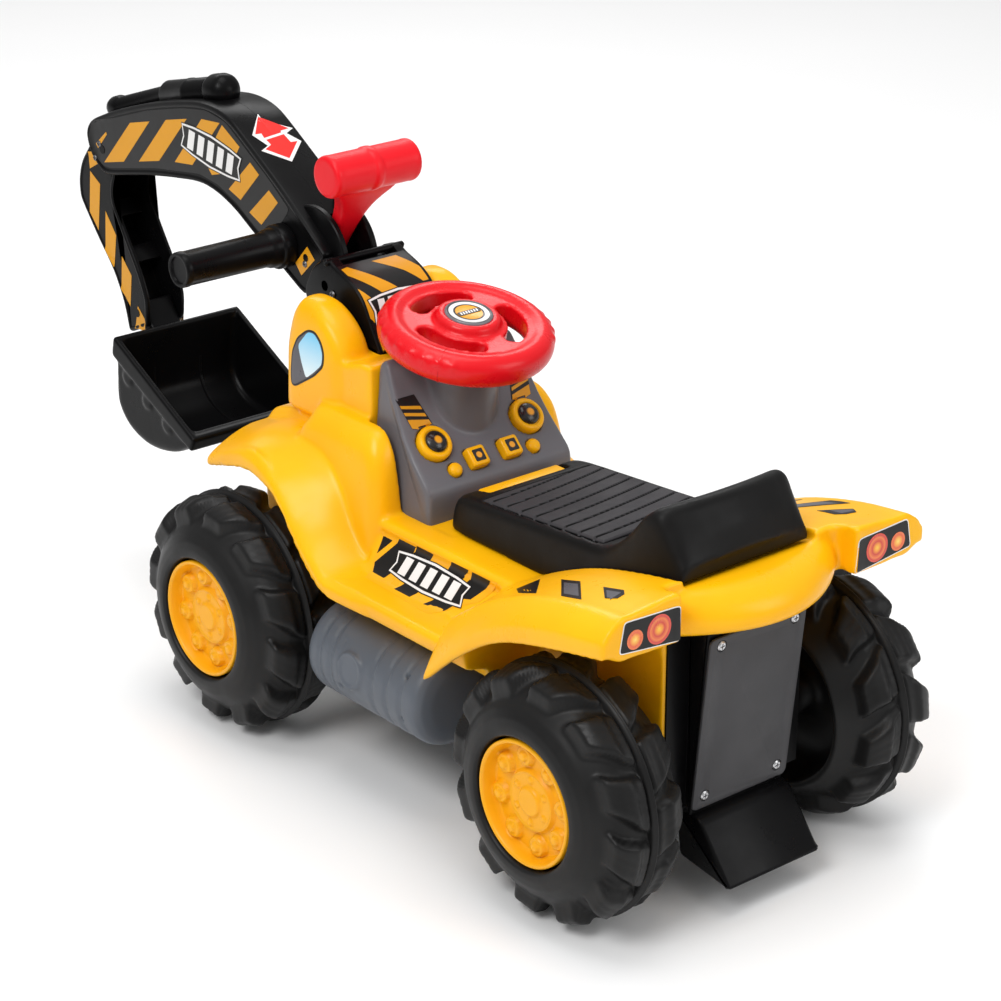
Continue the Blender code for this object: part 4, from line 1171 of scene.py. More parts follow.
def build_seat():
    foot = DECK + 0.3
    rows = [
        seat_row(-8.6, 54.5, foot, 206, 5, 2),
        seat_row(-6.0, 56.5, foot, 213.5, 6, 3),
        seat_row(-1, 58, foot, 219, 7, 3.5),
        seat_row(14, 59.6, foot, 221.5, 7, 4),
        seat_row(50, 60, foot, 224.2, 7, 4),
        seat_row(94, 60, foot, 227.5, 7, 4),
        seat_row(130, 60, foot + 8.5, 230.5, 7, 4),
        seat_row(150, 60.4, foot + 13.5, 233.5, 8, 4, 2),
        seat_row(164, 60.8, foot + 17, 243, 9, 3.5, 4),
        seat_row(176, 61, foot + 20.4, 256, 10, 3.5, 6, 1),
        seat_row(186, 61, foot + 23.2, 268, 10, 3, 8, 2),
        seat_row(194, 61, foot + 26, 273.5, 10, 3, 9, 3),
        seat_row(201, 60.6, foot + 29, 272.5, 10, 3, 10, 4),
        seat_row(207, 60, foot + 32.5, 264, 10, 3, 10, 5),
        seat_row(213, 59, foot + 35.5, 256, 9, 3, 9, 5),
        seat_row(219, 58, foot + 37.4, 248, 8, 3, 6, 4),
        seat_row(224, 57, foot + 38.2, 241.5, 5, 3, 3.5, 2),
    ]
    cutters = [block((-37, -14, 180), (37, 10.4, 240))]
    inner = []
    for y, half, low, top in (
        (13.6, 55.6, 170, 216), (94, 55.6, 180, 221), (148, 56, 190, 227), (166, 56, 196, 236),
        (184, 55, 200, 248), (196, 50, 204, 250)
    ):
        inner.append([
            (-half, y, low), (-half, y, top - 8), (-half + 8, y, top), (half - 8, y, top),
            (half, y, top - 8), (half, y, low)
        ])
    cutters.append(loft(inner))
    cutters.append(loft([plan(-50.6, 50.6, 19.4, 143.6, 3, z) for z in (214, 260)]))
    lid = fused("seat_skin", [loft(rows, 3)], 1.5, 5, cutters)
    pad_bed = [
        [
            (x, y, z + (y - 20) * 0.085)
            for x, z in ((-51.5, 216.0), (-51.5, 219.5), (51.5, 219.5), (51.5, 216.0))
        ]
        for y in (18.6, 144.6)
    ]
    bed = mesh_object("seat_bed", [loft(pad_bed)])
    fit(bed, "seat", SATIN)
    fit(lid, "seat", SEAT, ["seat_lid"])
    build_pad()


def pad_height(x, y):
    """The pad's top, crowned a little, with a bevelled edge and curved grooves across it."""
    base = 219.8 + (y - 20) * 0.085 + 2.5 + 0.7 * (1 - (x / 50) ** 2)
    edge = min(x + 50, 50 - x, y - 20, 143 - y)
    base -= 0.9 * (1 - ease(edge, 0.0, 1.6))
    return base - 1.5 * groove(x, y)


def groove(x, y):
    """How far a point of the pad lies in one of its grooves, from 0 to 1."""
    along = y - PAD_BOW * ((50 - x) / 100) ** 2
    away = abs((along - 6.0) % PAD_PITCH - PAD_PITCH / 2)
    return 1 - ease(away, 0.9, 1.6)


PAD_PITCH = 15.0
PAD_BOW = -12.0


def build_pad():
    bm = bmesh.new()
    rows = []
    spans = (200, 246)
    for j in range(spans[1] + 1):
        y = 20 + 123 * j / spans[1]
        row = []
        for i in range(spans[0] + 1):
            x = -50 + 100 * i / spans[0]
            row.append(bm.verts.new((x, y, pad_height(x, y))))
        rows.append(row)
    for near, far in zip(rows, rows[1:]):
        for i in range(spans[0]):
            face = bm.faces.new((near[i], near[i + 1], far[i + 1], far[i]))
            middle = face.calc_center_median()
            if groove(middle.x, middle.y) > 0.35 and min(middle.x + 50, 50 - middle.x) > 3.0:
                face.material_index = 1
    rim = [e for e in bm.edges if e.is_boundary]
    made = bmesh.ops.extrude_edge_only(bm, edges=rim)["geom"]
    for vert in [g for g in made if isinstance(g, bmesh.types.BMVert)]:
        vert.co.z = 219.9 + (vert.co.y - 20) * 0.085
    bmesh.ops.holes_fill(bm, edges=[e for e in bm.edges if e.is_boundary], sides=0)
    bmesh.ops.recalc_face_normals(bm, faces=bm.faces)
    pad = mesh_object("seat_pad_skin", [bm])
    pad.data.shade_smooth()
    fit(pad, "seat", [PAD, SEAT], ["seat_pad"])


# Arm


def boom_outline():
    """The boom's side outline, anticlockwise as seen from +X."""
    top = [(-191, 338), (-238, 373), (-290, 405), (-311, 417), (-339, 421)]
    top += [(-371, 416), (-420, 404), (-469, 388), (-504, 373)]
    nose = [(-511, 362), (-506, 346), (-490, 333)]
    lower = [(-478, 333), (-411, 348), (-351, 357), (-328, 354)]
    lower += [(-305, 346), (-284, 334), (-243, 313), (-214, 298)]
    outline = rounded(
        top + nose + lower, [4, 24, 18, 18, 18, 24, 24, 18, 9, 7, 7, 9, 9, 24, 18, 16, 16, 18, 24, 12], 4
    )
    return outline + [Vector(p) for p in arc((BOOM_PIVOT.y, BOOM_PIVOT.z), 17.8, 235, 420, 10)]


def build_arm_base():
    front = [(-190, 284), (-200, 290), (-206, 312), (-196, 330), (-184, 339)]
    panel = [(-175, 341), (-168, 337), (-150, 331), (-136, 322), (-124, 300), (-114, 284)]
    outline = rounded(front + panel, [1, 4, 6, 6, 3, 2, 2, 8, 8, 8, 1], 4)
    layers = rims([(3.0, 33), (1.2, 32.6), (0.3, 31.6), (0, 30)])
    base = mesh_object("arm_base_skin", [stack(outline, layers)])
    slot = 24.6
    room = arc((BOOM_PIVOT.y, BOOM_PIVOT.z), 19.2, 270, 390, 12)
    room += [(-181, 360), (-230, 360), (-230, 296), (-196, 296)]
    carve(base, [prism(room, -slot, slot)])
    fit(smooth(base, 35), "body", BLACK, ["arm_base"])
    bar = rod(2.6, (-36, -176, 338.5), (36, -176, 338.5), 20, 1.2)
    piece("arm_base_bar", [bar], "body", BLACK, "black_plastic")
    for hand, side in HANDS:
        screw(f"arm_base_screw_{hand}", (side * 33.0, -170, 316), (side, 0, 0), 3.0, "body", look=DARK_STEEL)
    return base


def by_lever(reach, shift):
    """A point out along the lever from its pivot, and across it."""
    outward = (LEVER_GRIP - LEVER_PIVOT).normalized()
    return LEVER_PIVOT + outward * reach + Vector((0.0, -outward.z, outward.y)) * shift


def lever_slot():
    """The opening in the boom's upper face that the lever swings in."""
    spots = [
        by_lever(reach, shift)
        for reach, shift in ((10.0, -17.0), (45.0, -17.0), (45.0, 17.0), (10.0, 17.0))
    ]
    return prism([(spot.y, spot.z) for spot in spots], -10.5, 14.0)


def build_boom():
    outline = boom_outline()
    shells = []
    for hand, side in HANDS:
        layers = [
            (0, 0.15), (0, 21.6), (0.5, 23.0), (1.5, 23.9), (2.4, 24.0), (3.4, 23.9), (4.2, 23.3),
            (4.6, 22.9)
        ]
        half = stack(outline, layers)
        shell = mesh_object(f"boom_skin_{hand}", [half if side > 0 else mirrored(half)])
        cutters = [
            prism(shrunk(outline, 3.0), -21, 21), block((-21, -530, 300), (21, -458, 368)), lever_slot()
        ]
        carve(shell, cutters)
        fit(smooth(shell, 35), "boom", BLACK, [f"boom_shell_{hand}"])
        shells.append(shell)
        for k, (y, z) in enumerate(((-217, 325), (-186, 321), (-492, 356), (-499, 343))):
            screw(
                f"boom_screw_{k + 1}_{hand}", (side * 22.9, y, z), (side, 0, 0), 2.6, "boom",
                look=DARK_STEEL
            )
    grip = [
        (0, 24), (16.2, 24), (16.6, 25), (16.6, 32.5), (16.0, 33.6), (15.0, 34.4), (14.6, 36.5),
        (14.4, 39.5), (13.6, 41.5)
    ]
    grip += [
        (13.1, 44), (12.9, 70), (12.7, 111.5), (13.1, 112.4), (13.2, 113.6), (13.1, 116.6), (12.4, 117.8),
        (11.4, 118)
    ]
    grip += [(10.2, 117.6), (9.6, 116.2), (0, 115.8)]
    bar = placed(lathe(grip, 64), along_x((0.0, -241.0, 334.0)))
    piece("grip_skin", [bar], "boom", BLACK, "black_plastic", ["side_grip"])
    build_cylinder(outline)
    rise = math.degrees(math.atan2(LEVER_GRIP.z - LEVER_PIVOT.z, LEVER_GRIP.y - LEVER_PIVOT.y))
    cheek = arc((LEVER_PIVOT.y, LEVER_PIVOT.z), 37.5, rise - 62, rise + 62, 24)
    cheeks = []
    for low, high in ((10.8, 15.6), (-15.6, -10.8)):
        cheeks.append(stack(cheek, [(0.8, low), (0, low + 0.8), (0, high - 0.8), (0.8, high)]))
    piece("lever_cheeks", cheeks, "boom", BLACK, "black_plastic")
    return shells


def build_cylinder(outline):
    tail = Vector((0.0, -343.0, 426.0))
    joint = Vector((0.0, -424.0, 406.0))
    nose = Vector((0.0, -503.0, 379.0))
    length = (joint - tail).length
    rings = [
        (0, -6.0), (3.0, -5.6), (6.5, -4.4), (10.2, -2.2), (12.2, 0.8), (13.0, 4.0), (13.0, 14.5),
        (12.4, 16.6), (10.4, 18.2), (10.4, 20.2)
    ]
    rings += [
        (11.0, 21.2), (11.0, length * 0.55), (11.4, length * 0.56), (11.4, length * 0.6),
        (11.0, length * 0.61), (11.0, length - 4), (10.2, length - 2), (8.4, length - 1.2),
        (0, length - 1.2)
    ]
    barrel = mesh_object("cylinder_barrel_skin", [placed(lathe(rings, 56), aimed(tail, joint))])
    start = joint + (nose - joint).normalized() * -2.5
    reach = (nose - start).length
    rings = [
        (0, 0), (7.5, 0), (7.5, reach - 15), (8.2, reach - 14), (9.0, reach - 11), (9.0, reach - 4),
        (8.0, reach - 0.5), (5.0, reach + 1.6), (0, reach + 2)
    ]
    piston = mesh_object("cylinder_rod_skin", [placed(lathe(rings, 48), aimed(start, nose))])
    for piece, stands_for in ((barrel, "cylinder_barrel"), (piston, "cylinder_rod")):
        carve(piece, [prism(shrunk(outline, 0.6), -60, 60)])
        fit(smooth(piece), "boom", BLACK, [stands_for])


def build_lever():
    sections = []
    for reach, half, thick in (
        (-7, 6, 5), (8, 7.5, 6.4), (24, 8.5, 6.4), (40, 10.5, 6.6), (54, 14.5, 7.2), (64, 20, 8.2),
        (72, 26, 9), (78, 29, 8)
    ):
        corners_at = [(half, thick), (-half, thick), (-half, -thick), (half, -thick)]
        row = [(x, by_lever(reach, shift)) for x, shift in rounded(corners_at, 4.0, 4)]
        sections.append([(x, spot.y, spot.z) for x, spot in row])
    rings = [
        (0, -38.4), (12.6, -38.4), (14.4, -37.8), (15.4, -36.2), (15.6, -34.0), (15.3, -32.0), (15.3, -3.4),
        (16.2, -2.2), (16.2, 2.2)
    ]
    rings += [(radius, -x) for radius, x in reversed(rings[:-2])]
    parts = [loft(sections, 2), placed(lathe(rings, 96), along_x(LEVER_GRIP))]
    y, z = LEVER_PIVOT.y, LEVER_PIVOT.z
    parts.append(prism([(y - 6, z), (y - 4, z + 23), (y + 4, z + 23), (y + 6, z)], -4.0, 4.0))
    lever = fused("lever_skin", parts, 1.1, 3)
    fit(lever, "lever", RED_SATIN, ["control_lever"])
    disc = lathe(
        [
            (0, 10.0), (22.2, 10.0), (23, 10.6), (23, 12.4), (22.2, 13.0), (20.2, 13.0), (19.8, 12.5),
            (0, 12.5)
        ],
        72
    )
    disc = placed(disc, along_x(LEVER_PIVOT))
    piece("quadrant_skin", [disc], "lever", BLACK, "black_plastic", ["lever_quadrant"])


def build_stick():
    rear = [(-474, 356), (-476, 340), (-487, 313), (-468, 283), (-451, 258), (-441, 236), (-443, 214)]
    front = [(-470, 202), (-476, 226), (-489, 250), (-509, 271), (-528, 294)]
    front += [(-534, 302), (-535, 316), (-530, 332), (-513, 352)]
    head = [(-503, 362), (-495, 367), (-482, 367), (-475, 362)]
    bend = [5, 8, 12, 18, 12, 8, 5, 5, 10, 12, 14, 6, 5, 8, 8, 6, 5, 4, 4, 4]
    outline = rounded(rear + front + head, bend, 4)
    layers = rims([(4.0, 17.6), (3.4, 18.2), (2.6, 18.4), (1.4, 18.3), (0.5, 17.6), (0, 16.4)])
    stick = mesh_object("stick_skin", [stack(outline, layers)])
    hollow = [(-466, 190), (-471, 226), (-485, 248), (-505, 269), (-524, 293)]
    hollow += [(-530, 303), (-531, 316), (-526, 330), (-508, 338)]
    hollow += [(-474, 338), (-460, 330), (-440, 290), (-420, 250), (-420, 190)]
    cutters = [prism(rounded(hollow, 4, 3), -15.2, 15.2)]
    cutters += [block((low, -540, 359.5), (high, -440, 400)) for low, high in ((-30.0, -4.3), (4.3, 30.0))]
    carve(stick, cutters)
    fit(smooth(stick, 35), "stick_arm", BLACK, ["stick"])
    crank = block((-4.0, -492, 355), (4.0, -484, STICK_PIVOT.z + 18.5))
    ribs = [crank]
    for y, z in ((-503, 300), (-478, 268)):
        ribs.append(placed(
            block((-15.0, -3.0, -0.9), (15.0, 12.0, 0.9)),
            Matrix.Translation((0, y, z)) @ Matrix.Rotation(-0.75, 4, "X")
        ))
    fit(softened(mesh_object("stick_ribs", ribs), 0.5), "stick_arm", BLACK)
    return stick


def bucket_outline(inset=0.0):
    bowl = [(-427, 217), (-430, 199), (-433, 172), (-431, 160), (-421, 148)]
    bowl += [(-408, 141), (-387, 136), (-357, 140), (-339, 149), (-322, 162)]
    if not inset:
        return rounded(bowl, [1, 12, 12, 8, 9, 10, 16, 16, 12, 1], 4)
    centre = Vector((-378.0, 178.0))
    moved = []
    for point in bowl:
        offset = Vector(point) - centre
        moved.append(tuple(centre + offset * (1 - inset / offset.length)))
    moved[0] = (-421, 240)
    moved[-1] = (-310, 190)
    return rounded(moved, [0, 12, 12, 8, 9, 10, 16, 16, 12, 0], 4)


def build_bucket():
    half = 58.0
    sides = rims([(7.0, half), (3.6, half - 0.7), (1.4, half - 2.4), (0.2, half - 5.4), (0, half - 9)])
    lip = [(-428.5, 219.5), (-431.5, 206), (-432, 203), (-324, 152.5), (-319.5, 164)]
    lip = rounded(lip, [1.5, 3, 1.5, 1.5, 1.5], 3)
    parts = [stack(bucket_outline(), sides), stack(lip, rims([(1.2, 60), (0.2, 59.4), (0, 58.5)]))]
    sections = []
    for y, z, width, thick in (
        (-459, 230, 14.4, 4), (-452, 216, 14.4, 6), (-446, 208, 15, 7), (-440, 203, 26, 7),
        (-431, 200, 50, 4)
    ):
        row = [
            (-width, y - thick, z - 2), (width, y - thick, z - 2), (width, y + thick, z + 2),
            (-width, y + thick, z + 2)
        ]
        sections.append(rounded(row, 2.5, 3))
    parts.append(loft(sections, 2))
    for y, z in ((-412, 189), (-385, 177), (-358, 165)):
        for way in (-1, 1):
            parts.append(rod(6.0, (way * 50, y, z), (way * 59.2, y, z), 28))
    hollow = stack(bucket_outline(3.0), rims([(5.0, half - 3.0), (2.0, half - 3.8), (0, half - 7.5)]))
    mouth = prism([(-424.5, 213.5), (-421, 240), (-300, 190), (-324.0, 165.5)], -half + 3.0, half - 3.0)
    bucket = fused("bucket_skin", parts, 1.15, 3, [hollow, mouth])
    fit(bucket, "bucket_body", BLACK, ["bucket"])
    ribs = []
    inner = bucket_outline(3.0)[6:-6]
    for x in (-22.0, 22.0):
        rows = []
        for k, (y, z) in enumerate(inner):
            offset = (Vector((-378.0, 178.0)) - Vector((y, z))).normalized()
            rise = 1.6 * math.sin(math.pi * k / (len(inner) - 1)) + 0.2
            top = Vector((y, z)) + offset * rise
            base = Vector((y, z)) - offset * 1.0
            rows.append([
                (x - 2.2, base.x, base.y), (x - 0.7, top.x, top.y), (x + 0.7, top.x, top.y),
                (x + 2.2, base.x, base.y)
            ])
        ribs.append(loft(rows))
    piece("bucket_ribs", ribs, "bucket_body", BLACK, "black_plastic")


# Printed stickers. Where the toy has words or pictures, they are plain bars and shapes.


def turned(points, angle, centre):
    """Points turned by an angle in degrees and moved to a centre."""
    c, s = math.cos(math.radians(angle)), math.sin(math.radians(angle))
    return [Vector((centre[0] + x * c - y * s, centre[1] + x * s + y * c)) for x, y in points]


def badge_outline(length, height, turn=0.0, centre=(0.0, 0.0)):
    """A long shield: bowed above and below, with notched ends."""
    upper = [(-1, 0.72), (-0.62, 0.9), (0, 1.02), (0.62, 0.9), (1, 0.72), (0.93, 0)]
    shape = upper + [(-x, -y) for x, y in upper]
    points = [(x * length / 2, y * height / 2) for x, y in shape]
    return turned(points, turn, centre)


def badge(face, name, length, height, turn, centre):
    """The word badge, with slanted bars for its letters."""
    face.sticker(f"{name}_edge", [badge_outline(length, height, turn, centre)], INK_BLACK, 0.55)
    face.sticker(f"{name}_border", [badge_outline(length - 1.6, height - 1.6, turn, centre)], INK_WHITE, 0.7)
    face.sticker(f"{name}_field", [badge_outline(length - 5.0, height - 5.0, turn, centre)], INK_BLACK, 0.85)
    bars = []
    wide, slant = length * 0.05, 0.8
    for i in (-2, -1, 0, 1, 2):
        middle = i * length * 0.16
        tall = height * (0.31 - 0.012 * abs(i))
        shape = [(-wide - slant, -tall), (wide - slant, -tall), (wide + slant, tall), (-wide + slant, tall)]
        bars.append(turned([(middle + x, y) for x, y in shape], turn, centre))
    face.sticker(f"{name}_bars", bars, INK_WHITE, 1.0)


def for_side(outlines, side):
    """Outlines drawn for the left, as seen on the face of that side."""
    return [[(side * p[0], p[1]) for p in outline] for outline in outlines]


def layers_on(face, hand, side, layers, step=4.0):
    """Prints (name, outlines drawn for the left, look, lift) layers on a side's face."""
    for name, outlines, look, lift in layers:
        face.sticker(f"{name}_{hand}", for_side(outlines, side), look, lift, step)


def side_face(x, side, target, body, slot="black_plastic"):
    return Face((side * x, 0, 0), (0, side, 0), (0, 0, 1), target, body, slot)


def boom_stickers(shells):
    field = [
        (-499, 374), (-507, 360), (-503, 347), (-488, 339), (-478, 339), (-411, 354), (-351, 363),
        (-326, 360)
    ]
    field += [
        (-302, 351), (-281, 339), (-262, 330), (-249, 345), (-235, 362), (-262, 381), (-293, 399),
        (-313, 411)
    ]
    field += [(-339, 415), (-371, 410), (-420, 398), (-468, 382)]
    stripes = [
        [(-481, 368), (-497, 355), (-494, 352), (-480, 366)],
        [(-445, 383), (-417, 390), (-457, 349), (-486, 342)],
        [(-394, 396), (-365, 403), (-406, 361), (-435, 354)],
        [(-345, 407), (-321, 409), (-360, 368), (-384, 365)],
        [(-318, 408), (-296, 396), (-313, 372), (-334, 366), (-343, 376)],
        [(-283, 387), (-272, 380), (-297, 355), (-312, 360)],
        [(-260, 371), (-249, 364), (-271, 342), (-286, 348)],
    ]
    heel = [(-214, 339), (-205, 331), (-222, 315), (-229, 323)]
    layers = [("boom_field", [rounded(field, 4, 3)], INK_BLACK, 0.2)]
    layers += [("boom_stripes", stripes, INK_ORANGE, 0.35), ("boom_heel", [heel], INK_ORANGE, 0.3)]
    for (hand, side), shell in zip(HANDS, shells):
        face = side_face(24, side, shell, "boom")
        layers_on(face, hand, side, layers)
        badge(face, f"boom_badge_{hand}", 80, 27, -8 * side, (side * -334, 384))


def arrow_stickers(shells):
    """The red double arrow on the boom's upper face, across both shells."""
    arrow = [
        (2, 50), (1.5, 42.5), (20.5, 29), (12.5, 25.5), (19.5, 15), (0, -2), (-17.5, 14), (-9.5, 17.5),
        (-15.5, 30.5)
    ]
    upper = [(0, 47), (-12.8, 30.6), (-7.5, 30.2), (-8, 25.4), (8.5, 27.2), (9.2, 29.0), (17, 29.6)]
    lower = [(0, 1.6), (16.2, 15.8), (10.4, 16.2), (9.6, 25.0), (-7.4, 23.2), (-6.6, 17.6), (-13.6, 14.6)]
    for (hand, side), shell in zip(HANDS, shells):
        face = Face((0, -264, 389), (-1, 0, 0), (0, -52, 32), shell, "boom", "black_plastic")
        face.sticker(f"arrow_edge_{hand}", [arrow], INK_WHITE, 0.25, 3.0, side)
        face.sticker(f"arrow_red_{hand}", [upper, lower], INK_RED, 0.4, 3.0, side)


def stick_stickers(stick):
    stripes = [
        [(-518, 343), (-508, 345), (-504, 336), (-517, 329)],
        [(-517, 327), (-503, 319), (-509, 279), (-521, 292)],
        [(-497, 298), (-483, 281), (-488, 253), (-500, 265)],
        [(-476, 265), (-463, 252), (-467, 225), (-479, 237)],
        [(-456, 228), (-445, 218), (-446, 210), (-461, 208)],
    ]
    for hand, side in HANDS:
        face = side_face(18.4, side, stick, "stick_arm")
        layers_on(face, hand, side, [("stick_stripes", stripes, INK_ORANGE, 0.25)])


def tower_stickers(body):
    window = [(-156, 301), (-147, 302), (-139, 296), (-135, 288), (-136, 278), (-147, 268)]
    window += [(-171, 253.5), (-176, 254.5), (-176.5, 263), (-174, 280), (-168, 292)]
    window = rounded(window, 4, 3)
    glass = [(-155, 299.3), (-147.5, 300), (-140.6, 294.5), (-137, 287.5), (-138, 279)]
    glass += [(-148, 270.5), (-157, 264), (-162, 275), (-166, 287)]
    layers = [
        ("window_edge", [window], INK_BLACK, 0.25), ("window_shade", [shrunk(window, 1.5)], INK_GREY, 0.38)
    ]
    layers.append(("window_glass", [rounded(glass, 3, 3)], WINDOW, 0.5))
    for hand, side in HANDS:
        face = side_face(68, side, body, "body", "yellow_plastic")
        layers_on(face, hand, side, layers, 3.0)


def sill_stickers(body):
    panel = [(-47, 30), (-40, 31), (78, 33), (66, 16), (48, 6), (36, -6), (-38, -4), (-44, 8)]
    blocks = [
        [(-46, 29), (-34, 29), (-40, 20), (-44, 14)],
        [(-42, 8), (-28, 30), (-9, 30), (-26, 0), (-38, 1)],
        [(-12, 24), (-8, 31), (10, 31), (4, 22)],
        [(25, 24), (30, 32), (48, 32), (42, 24)],
        [(40, 10), (52, 32), (71, 32), (58, 15)],
        [(-9, -2), (-5, 5), (12, 6), (8, -2)],
        [(23, -2), (28, 5), (46, 6), (42, 0)],
    ]
    for hand, side in HANDS:
        face = Face((side * 101, 0, 161), (0, side, 0), (-17 * side, 0, 27), body, "body", "yellow_plastic")
        layers = [("sill_panel", [panel], INK_YELLOW, 0.2), ("sill_blocks", blocks, INK_BLACK, 0.35)]
        layers_on(face, hand, side, layers)
        badge(face, f"sill_badge_{hand}", 80, 23, 0, (side * 14, 15))


def fender_stickers(body):
    strips = [
        [(95.3, 192.9), (119.6, 207.6), (114.5, 197.7), (97, 191.5)],
        [(140.1, 214.8), (158.5, 220), (157.7, 208.8), (138.5, 204.4)],
        [(180, 223.9), (199.4, 228.4), (199.5, 226), (180.2, 212.7)],
    ]
    for hand, side in HANDS:
        across = (-0.7685, side * 0.64, 0)
        up = (side * -0.249, -0.299, 0.922)
        face = Face((side * 84, 150, 215), across, up, body, "body", "yellow_plastic", 70.0)
        dark = [[face.flat((side * 84, y, z)) for y, z in strip] for strip in strips]
        face.sticker(f"fender_edge_{hand}", dark, INK_BLACK, 1.0, 2.0)
        panes = [shrunk(strip, 1.6) for strip in dark[1:]]
        face.sticker(f"fender_panes_{hand}", panes, INK_GREY, 1.2, 2.0)


def tail_stickers(body):
    panel = [(126, 235), (79, 233), (78, 208), (130, 214)]
    for hand, side in HANDS:
        face = Face((0, 247, 0), (-1, 0, 0), (0, 0, 1), body, "body", "yellow_plastic")
        shape = rounded([(-side * x, z) for x, z in panel], 3, 3)
        face.sticker(f"tail_edge_{hand}", [shape], INK_WHITE, 0.25, 3.0)
        face.sticker(f"tail_field_{hand}", [shrunk(shape, 0.8)], INK_BLACK, 0.4, 3.0)
        for kind, x, z, radius, stops in (
            (
                "inner", 97, 222, 10.0,
                [
                    (0, (0.9, 0.6, 0.05)), (2.4, (0.85, 0.3, 0.03)), (4.6, (0.6, 0.05, 0.03)),
                    (7.2, (0.8, 0.2, 0.05)), (8.6, (0.6, 0.05, 0.04)), (10.4, (0.75, 0.1, 0.05))
                ]
            ),
            (
                "outer", 117, 221, 6.6,
                [
                    (0, (0.95, 0.7, 0.15)), (2.4, (0.9, 0.4, 0.06)), (4.6, (0.75, 0.12, 0.04)),
                    (7.0, (0.8, 0.2, 0.06))
                ]
            ),
        ):
            centre = (side * x, 247, z)
            lens = circle(radius, 28, (-side * x, z))
            look = radial(f"tail_{kind}_{hand}", centre, stops)
            face.sticker(f"tail_{kind}_{hand}", [lens], look, 0.55, 3.0)


def base_stickers(base):
    face = Face((0, -150, 331), (-1, 0, 0), (0, -0.85, 0.5), base, "body", "black_plastic")
    field = [(-31, 18), (29, 18), (31, -40), (29, -62), (-31, -62)]
    stripes = [
        [(-2, 15), (20, 15), (26, 4), (29, -2), (29, -15), (24, -15), (15, -2)],
        [(-30, 14), (-24, 15), (1, -15), (10, -30), (-4, -30), (-15, -14), (-30, 6)],
        [(-31, -8), (-18, -28), (-24, -40), (-31, -30)],
        [(12, -34), (29, -34), (29, -50), (4, -50)],
        [(-30, -42), (-22, -50), (-12, -61), (-30, -61)],
    ]
    face.sticker("base_field", [field], INK_BLACK, 0.2, 3.0)
    face.sticker("base_stripes", stripes, INK_ORANGE, 0.35, 3.0)
    badge(face, "base_badge", 58, 24, 0, (0, -27))


def console_stickers(console):
    face = Face((0, -63, 271), (-1, 0, 0), (0, -26, 48), console, "body", "grey_plastic")
    dark = [(-59, 2), (-43, 2), (-36, -21), (-45, -24), (-54, -21)]
    bars = [
        [(-57.6, -3.2), (-41.2, -7.0), (-40.4, -9.6), (-57.0, -5.6)],
        [(-56.4, -8.6), (-39.6, -12.6), (-38.8, -15.2), (-55.8, -11.0)],
        [(-55.2, -14.0), (-38.0, -17.8), (-36.8, -21.2), (-45, -23.6), (-53.8, -20.8)],
    ]
    layers = [("console_dark", [dark], INK_BLACK, 0.25), ("console_bars", bars, INK_ORANGE, 0.4)]
    for hand, side in HANDS:
        layers_on(face, hand, side, layers, 3.0)


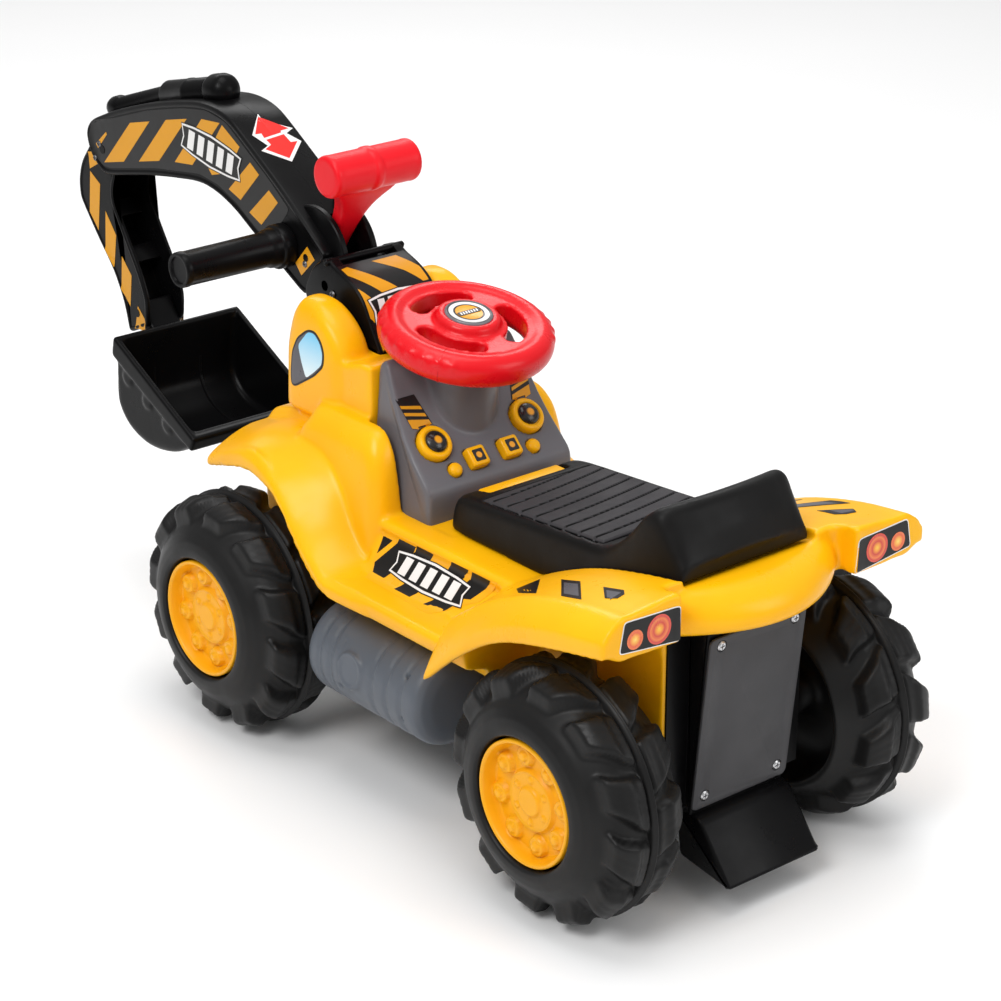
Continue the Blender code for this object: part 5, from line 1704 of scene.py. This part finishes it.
def stage():
    """Floor, lights and camera."""
    size = 60.0
    mesh = bpy.data.meshes.new("floor")
    mesh.from_pydata(
        [(-size, -size, 0), (size, -size, 0), (size, size, 0), (-size, size, 0)], [], [(0, 1, 2, 3)]
    )
    floor = bpy.data.objects.new("floor", mesh)
    bpy.context.scene.collection.objects.link(floor)
    pale = bpy.data.materials.new("floor_white")
    pale.use_nodes = True
    tree = pale.node_tree
    place = add(tree, "ShaderNodeTexCoord").outputs["Object"]
    cloud = add(tree, "ShaderNodeTexNoise", {"Vector": place, "Scale": 2.0})
    ramp = add(tree, "ShaderNodeValToRGB", {"Fac": cloud.outputs["Fac"]})
    ramp.color_ramp.elements[0].color = (0.9, 0.9, 0.9, 1)
    ramp.color_ramp.elements[1].color = (0.94, 0.94, 0.94, 1)
    tree.links.new(ramp.outputs["Color"], tree.nodes["Principled BSDF"].inputs["Base Color"])
    tree.nodes["Principled BSDF"].inputs["Roughness"].default_value = 0.6
    mesh.materials.append(pale)

    world = bpy.data.worlds.new("studio")
    bpy.context.scene.world = world
    world.use_nodes = True
    tree = world.node_tree
    place = add(tree, "ShaderNodeTexCoord").outputs["Generated"]
    split = add(tree, "ShaderNodeSeparateXYZ", {"Vector": place})
    rise = add(tree, "ShaderNodeMapRange", {"Value": split.outputs["Z"], "From Min": 0.0, "From Max": 0.8})
    ramp = add(tree, "ShaderNodeValToRGB", {"Fac": rise.outputs[0]})
    ramp.color_ramp.elements[0].color = (0.2, 0.2, 0.2, 1)
    ramp.color_ramp.elements[1].color = (0.75, 0.75, 0.75, 1)
    seen = add(tree, "ShaderNodeLightPath").outputs["Is Camera Ray"]
    mixed = add(tree, "ShaderNodeMix", {"Factor": seen}, data_type="RGBA")
    tree.links.new(ramp.outputs["Color"], mixed.inputs["A"])
    mixed.inputs["B"].default_value = (1, 1, 1, 1)
    tree.links.new(mixed.outputs["Result"], tree.nodes["Background"].inputs["Color"])

    centre = (Vector((0.0, -50.0, 180.0)) + DRAWN_FROM) * MM
    for name, spot, wide, high, power in (
        ("key", (1.9, 0.65, 2.1), 1.3, 1.0, 38),
        ("fill", (-1.1, 2.45, 1.1), 1.3, 1.1, 15),
        ("rim", (-1.2, -1.95, 1.9), 2.0, 0.8, 20),
        ("top", (0.1, 0.05, 2.4), 1.3, 1.3, 20),
    ):
        data = bpy.data.lights.new(name, "AREA")
        data.shape = "RECTANGLE"
        data.size = wide
        data.size_y = high
        data.energy = power
        light = bpy.data.objects.new(name, data)
        light.location = centre + Vector(spot)
        light.rotation_euler = (-Vector(spot)).to_track_quat("-Z", "Y").to_euler()
        bpy.context.scene.collection.objects.link(light)

    aim = (Vector((0.0, -21.6, 194.5)) + DRAWN_FROM) * MM
    azimuth, elevation, distance = math.radians(140.21), math.radians(22.885), 2.0238
    back = Vector(
        (
            math.sin(azimuth) * math.cos(elevation),
            -math.cos(azimuth) * math.cos(elevation),
            math.sin(elevation),
        )
    )
    data = bpy.data.cameras.new("camera")
    data.lens = 103.2
    data.sensor_width = 36.0
    data.clip_end = 200.0
    camera = bpy.data.objects.new("camera", data)
    camera.location = aim + back * distance
    camera.rotation_euler = (-back).to_track_quat("-Z", "Y").to_euler()
    bpy.context.scene.collection.objects.link(camera)
    bpy.context.scene.camera = camera
    bpy.context.scene.view_settings.view_transform = "Standard"


def finish_cad_nodes():
    """Gives the CAD parts that stay in view soft edges and their plastics and metals."""
    finishes = {
        "yellow_plastic": YELLOW,
        "black_plastic": FRAME,
        "tyre_plastic": TYRE,
        "grey_plastic": GREY,
        "tank_plastic": TANK,
        "red_plastic": RED,
        "pad_plastic": PAD,
        "plate_plastic": PLATE,
        "badge_metal": SILVER,
        "steel": STEEL,
    }
    slots = {part["node"]: part["material_slot"] for part in frame["record"]["subparts"]}
    for name, obj in frame["nodes"].items():
        if obj.hide_render:
            continue
        look = BLACK if name.endswith("_pin") else finishes[slots[name]]
        for index in range(len(obj.material_slots)):
            obj.material_slots[index].link = "OBJECT"
            obj.material_slots[index].material = look
        edges = obj.modifiers.new("edges", "BEVEL")
        edges.width = 0.6 * MM
        edges.segments = 2
        edges.limit_method = "ANGLE"
        edges.angle_limit = math.radians(40)


def main():
    build_wheels()
    body = build_body()
    build_tanks()
    build_rear_support()
    console = build_console()
    build_buttons()
    build_steering()
    build_seat()
    base = build_arm_base()
    shells = build_boom()
    build_lever()
    stick = build_stick()
    build_bucket()
    boom_stickers(shells)
    arrow_stickers(shells)
    stick_stickers(stick)
    tower_stickers(body)
    sill_stickers(body)
    fender_stickers(body)
    tail_stickers(body)
    base_stickers(base)
    console_stickers(console)
    finish_cad_nodes()
    stage()


main()
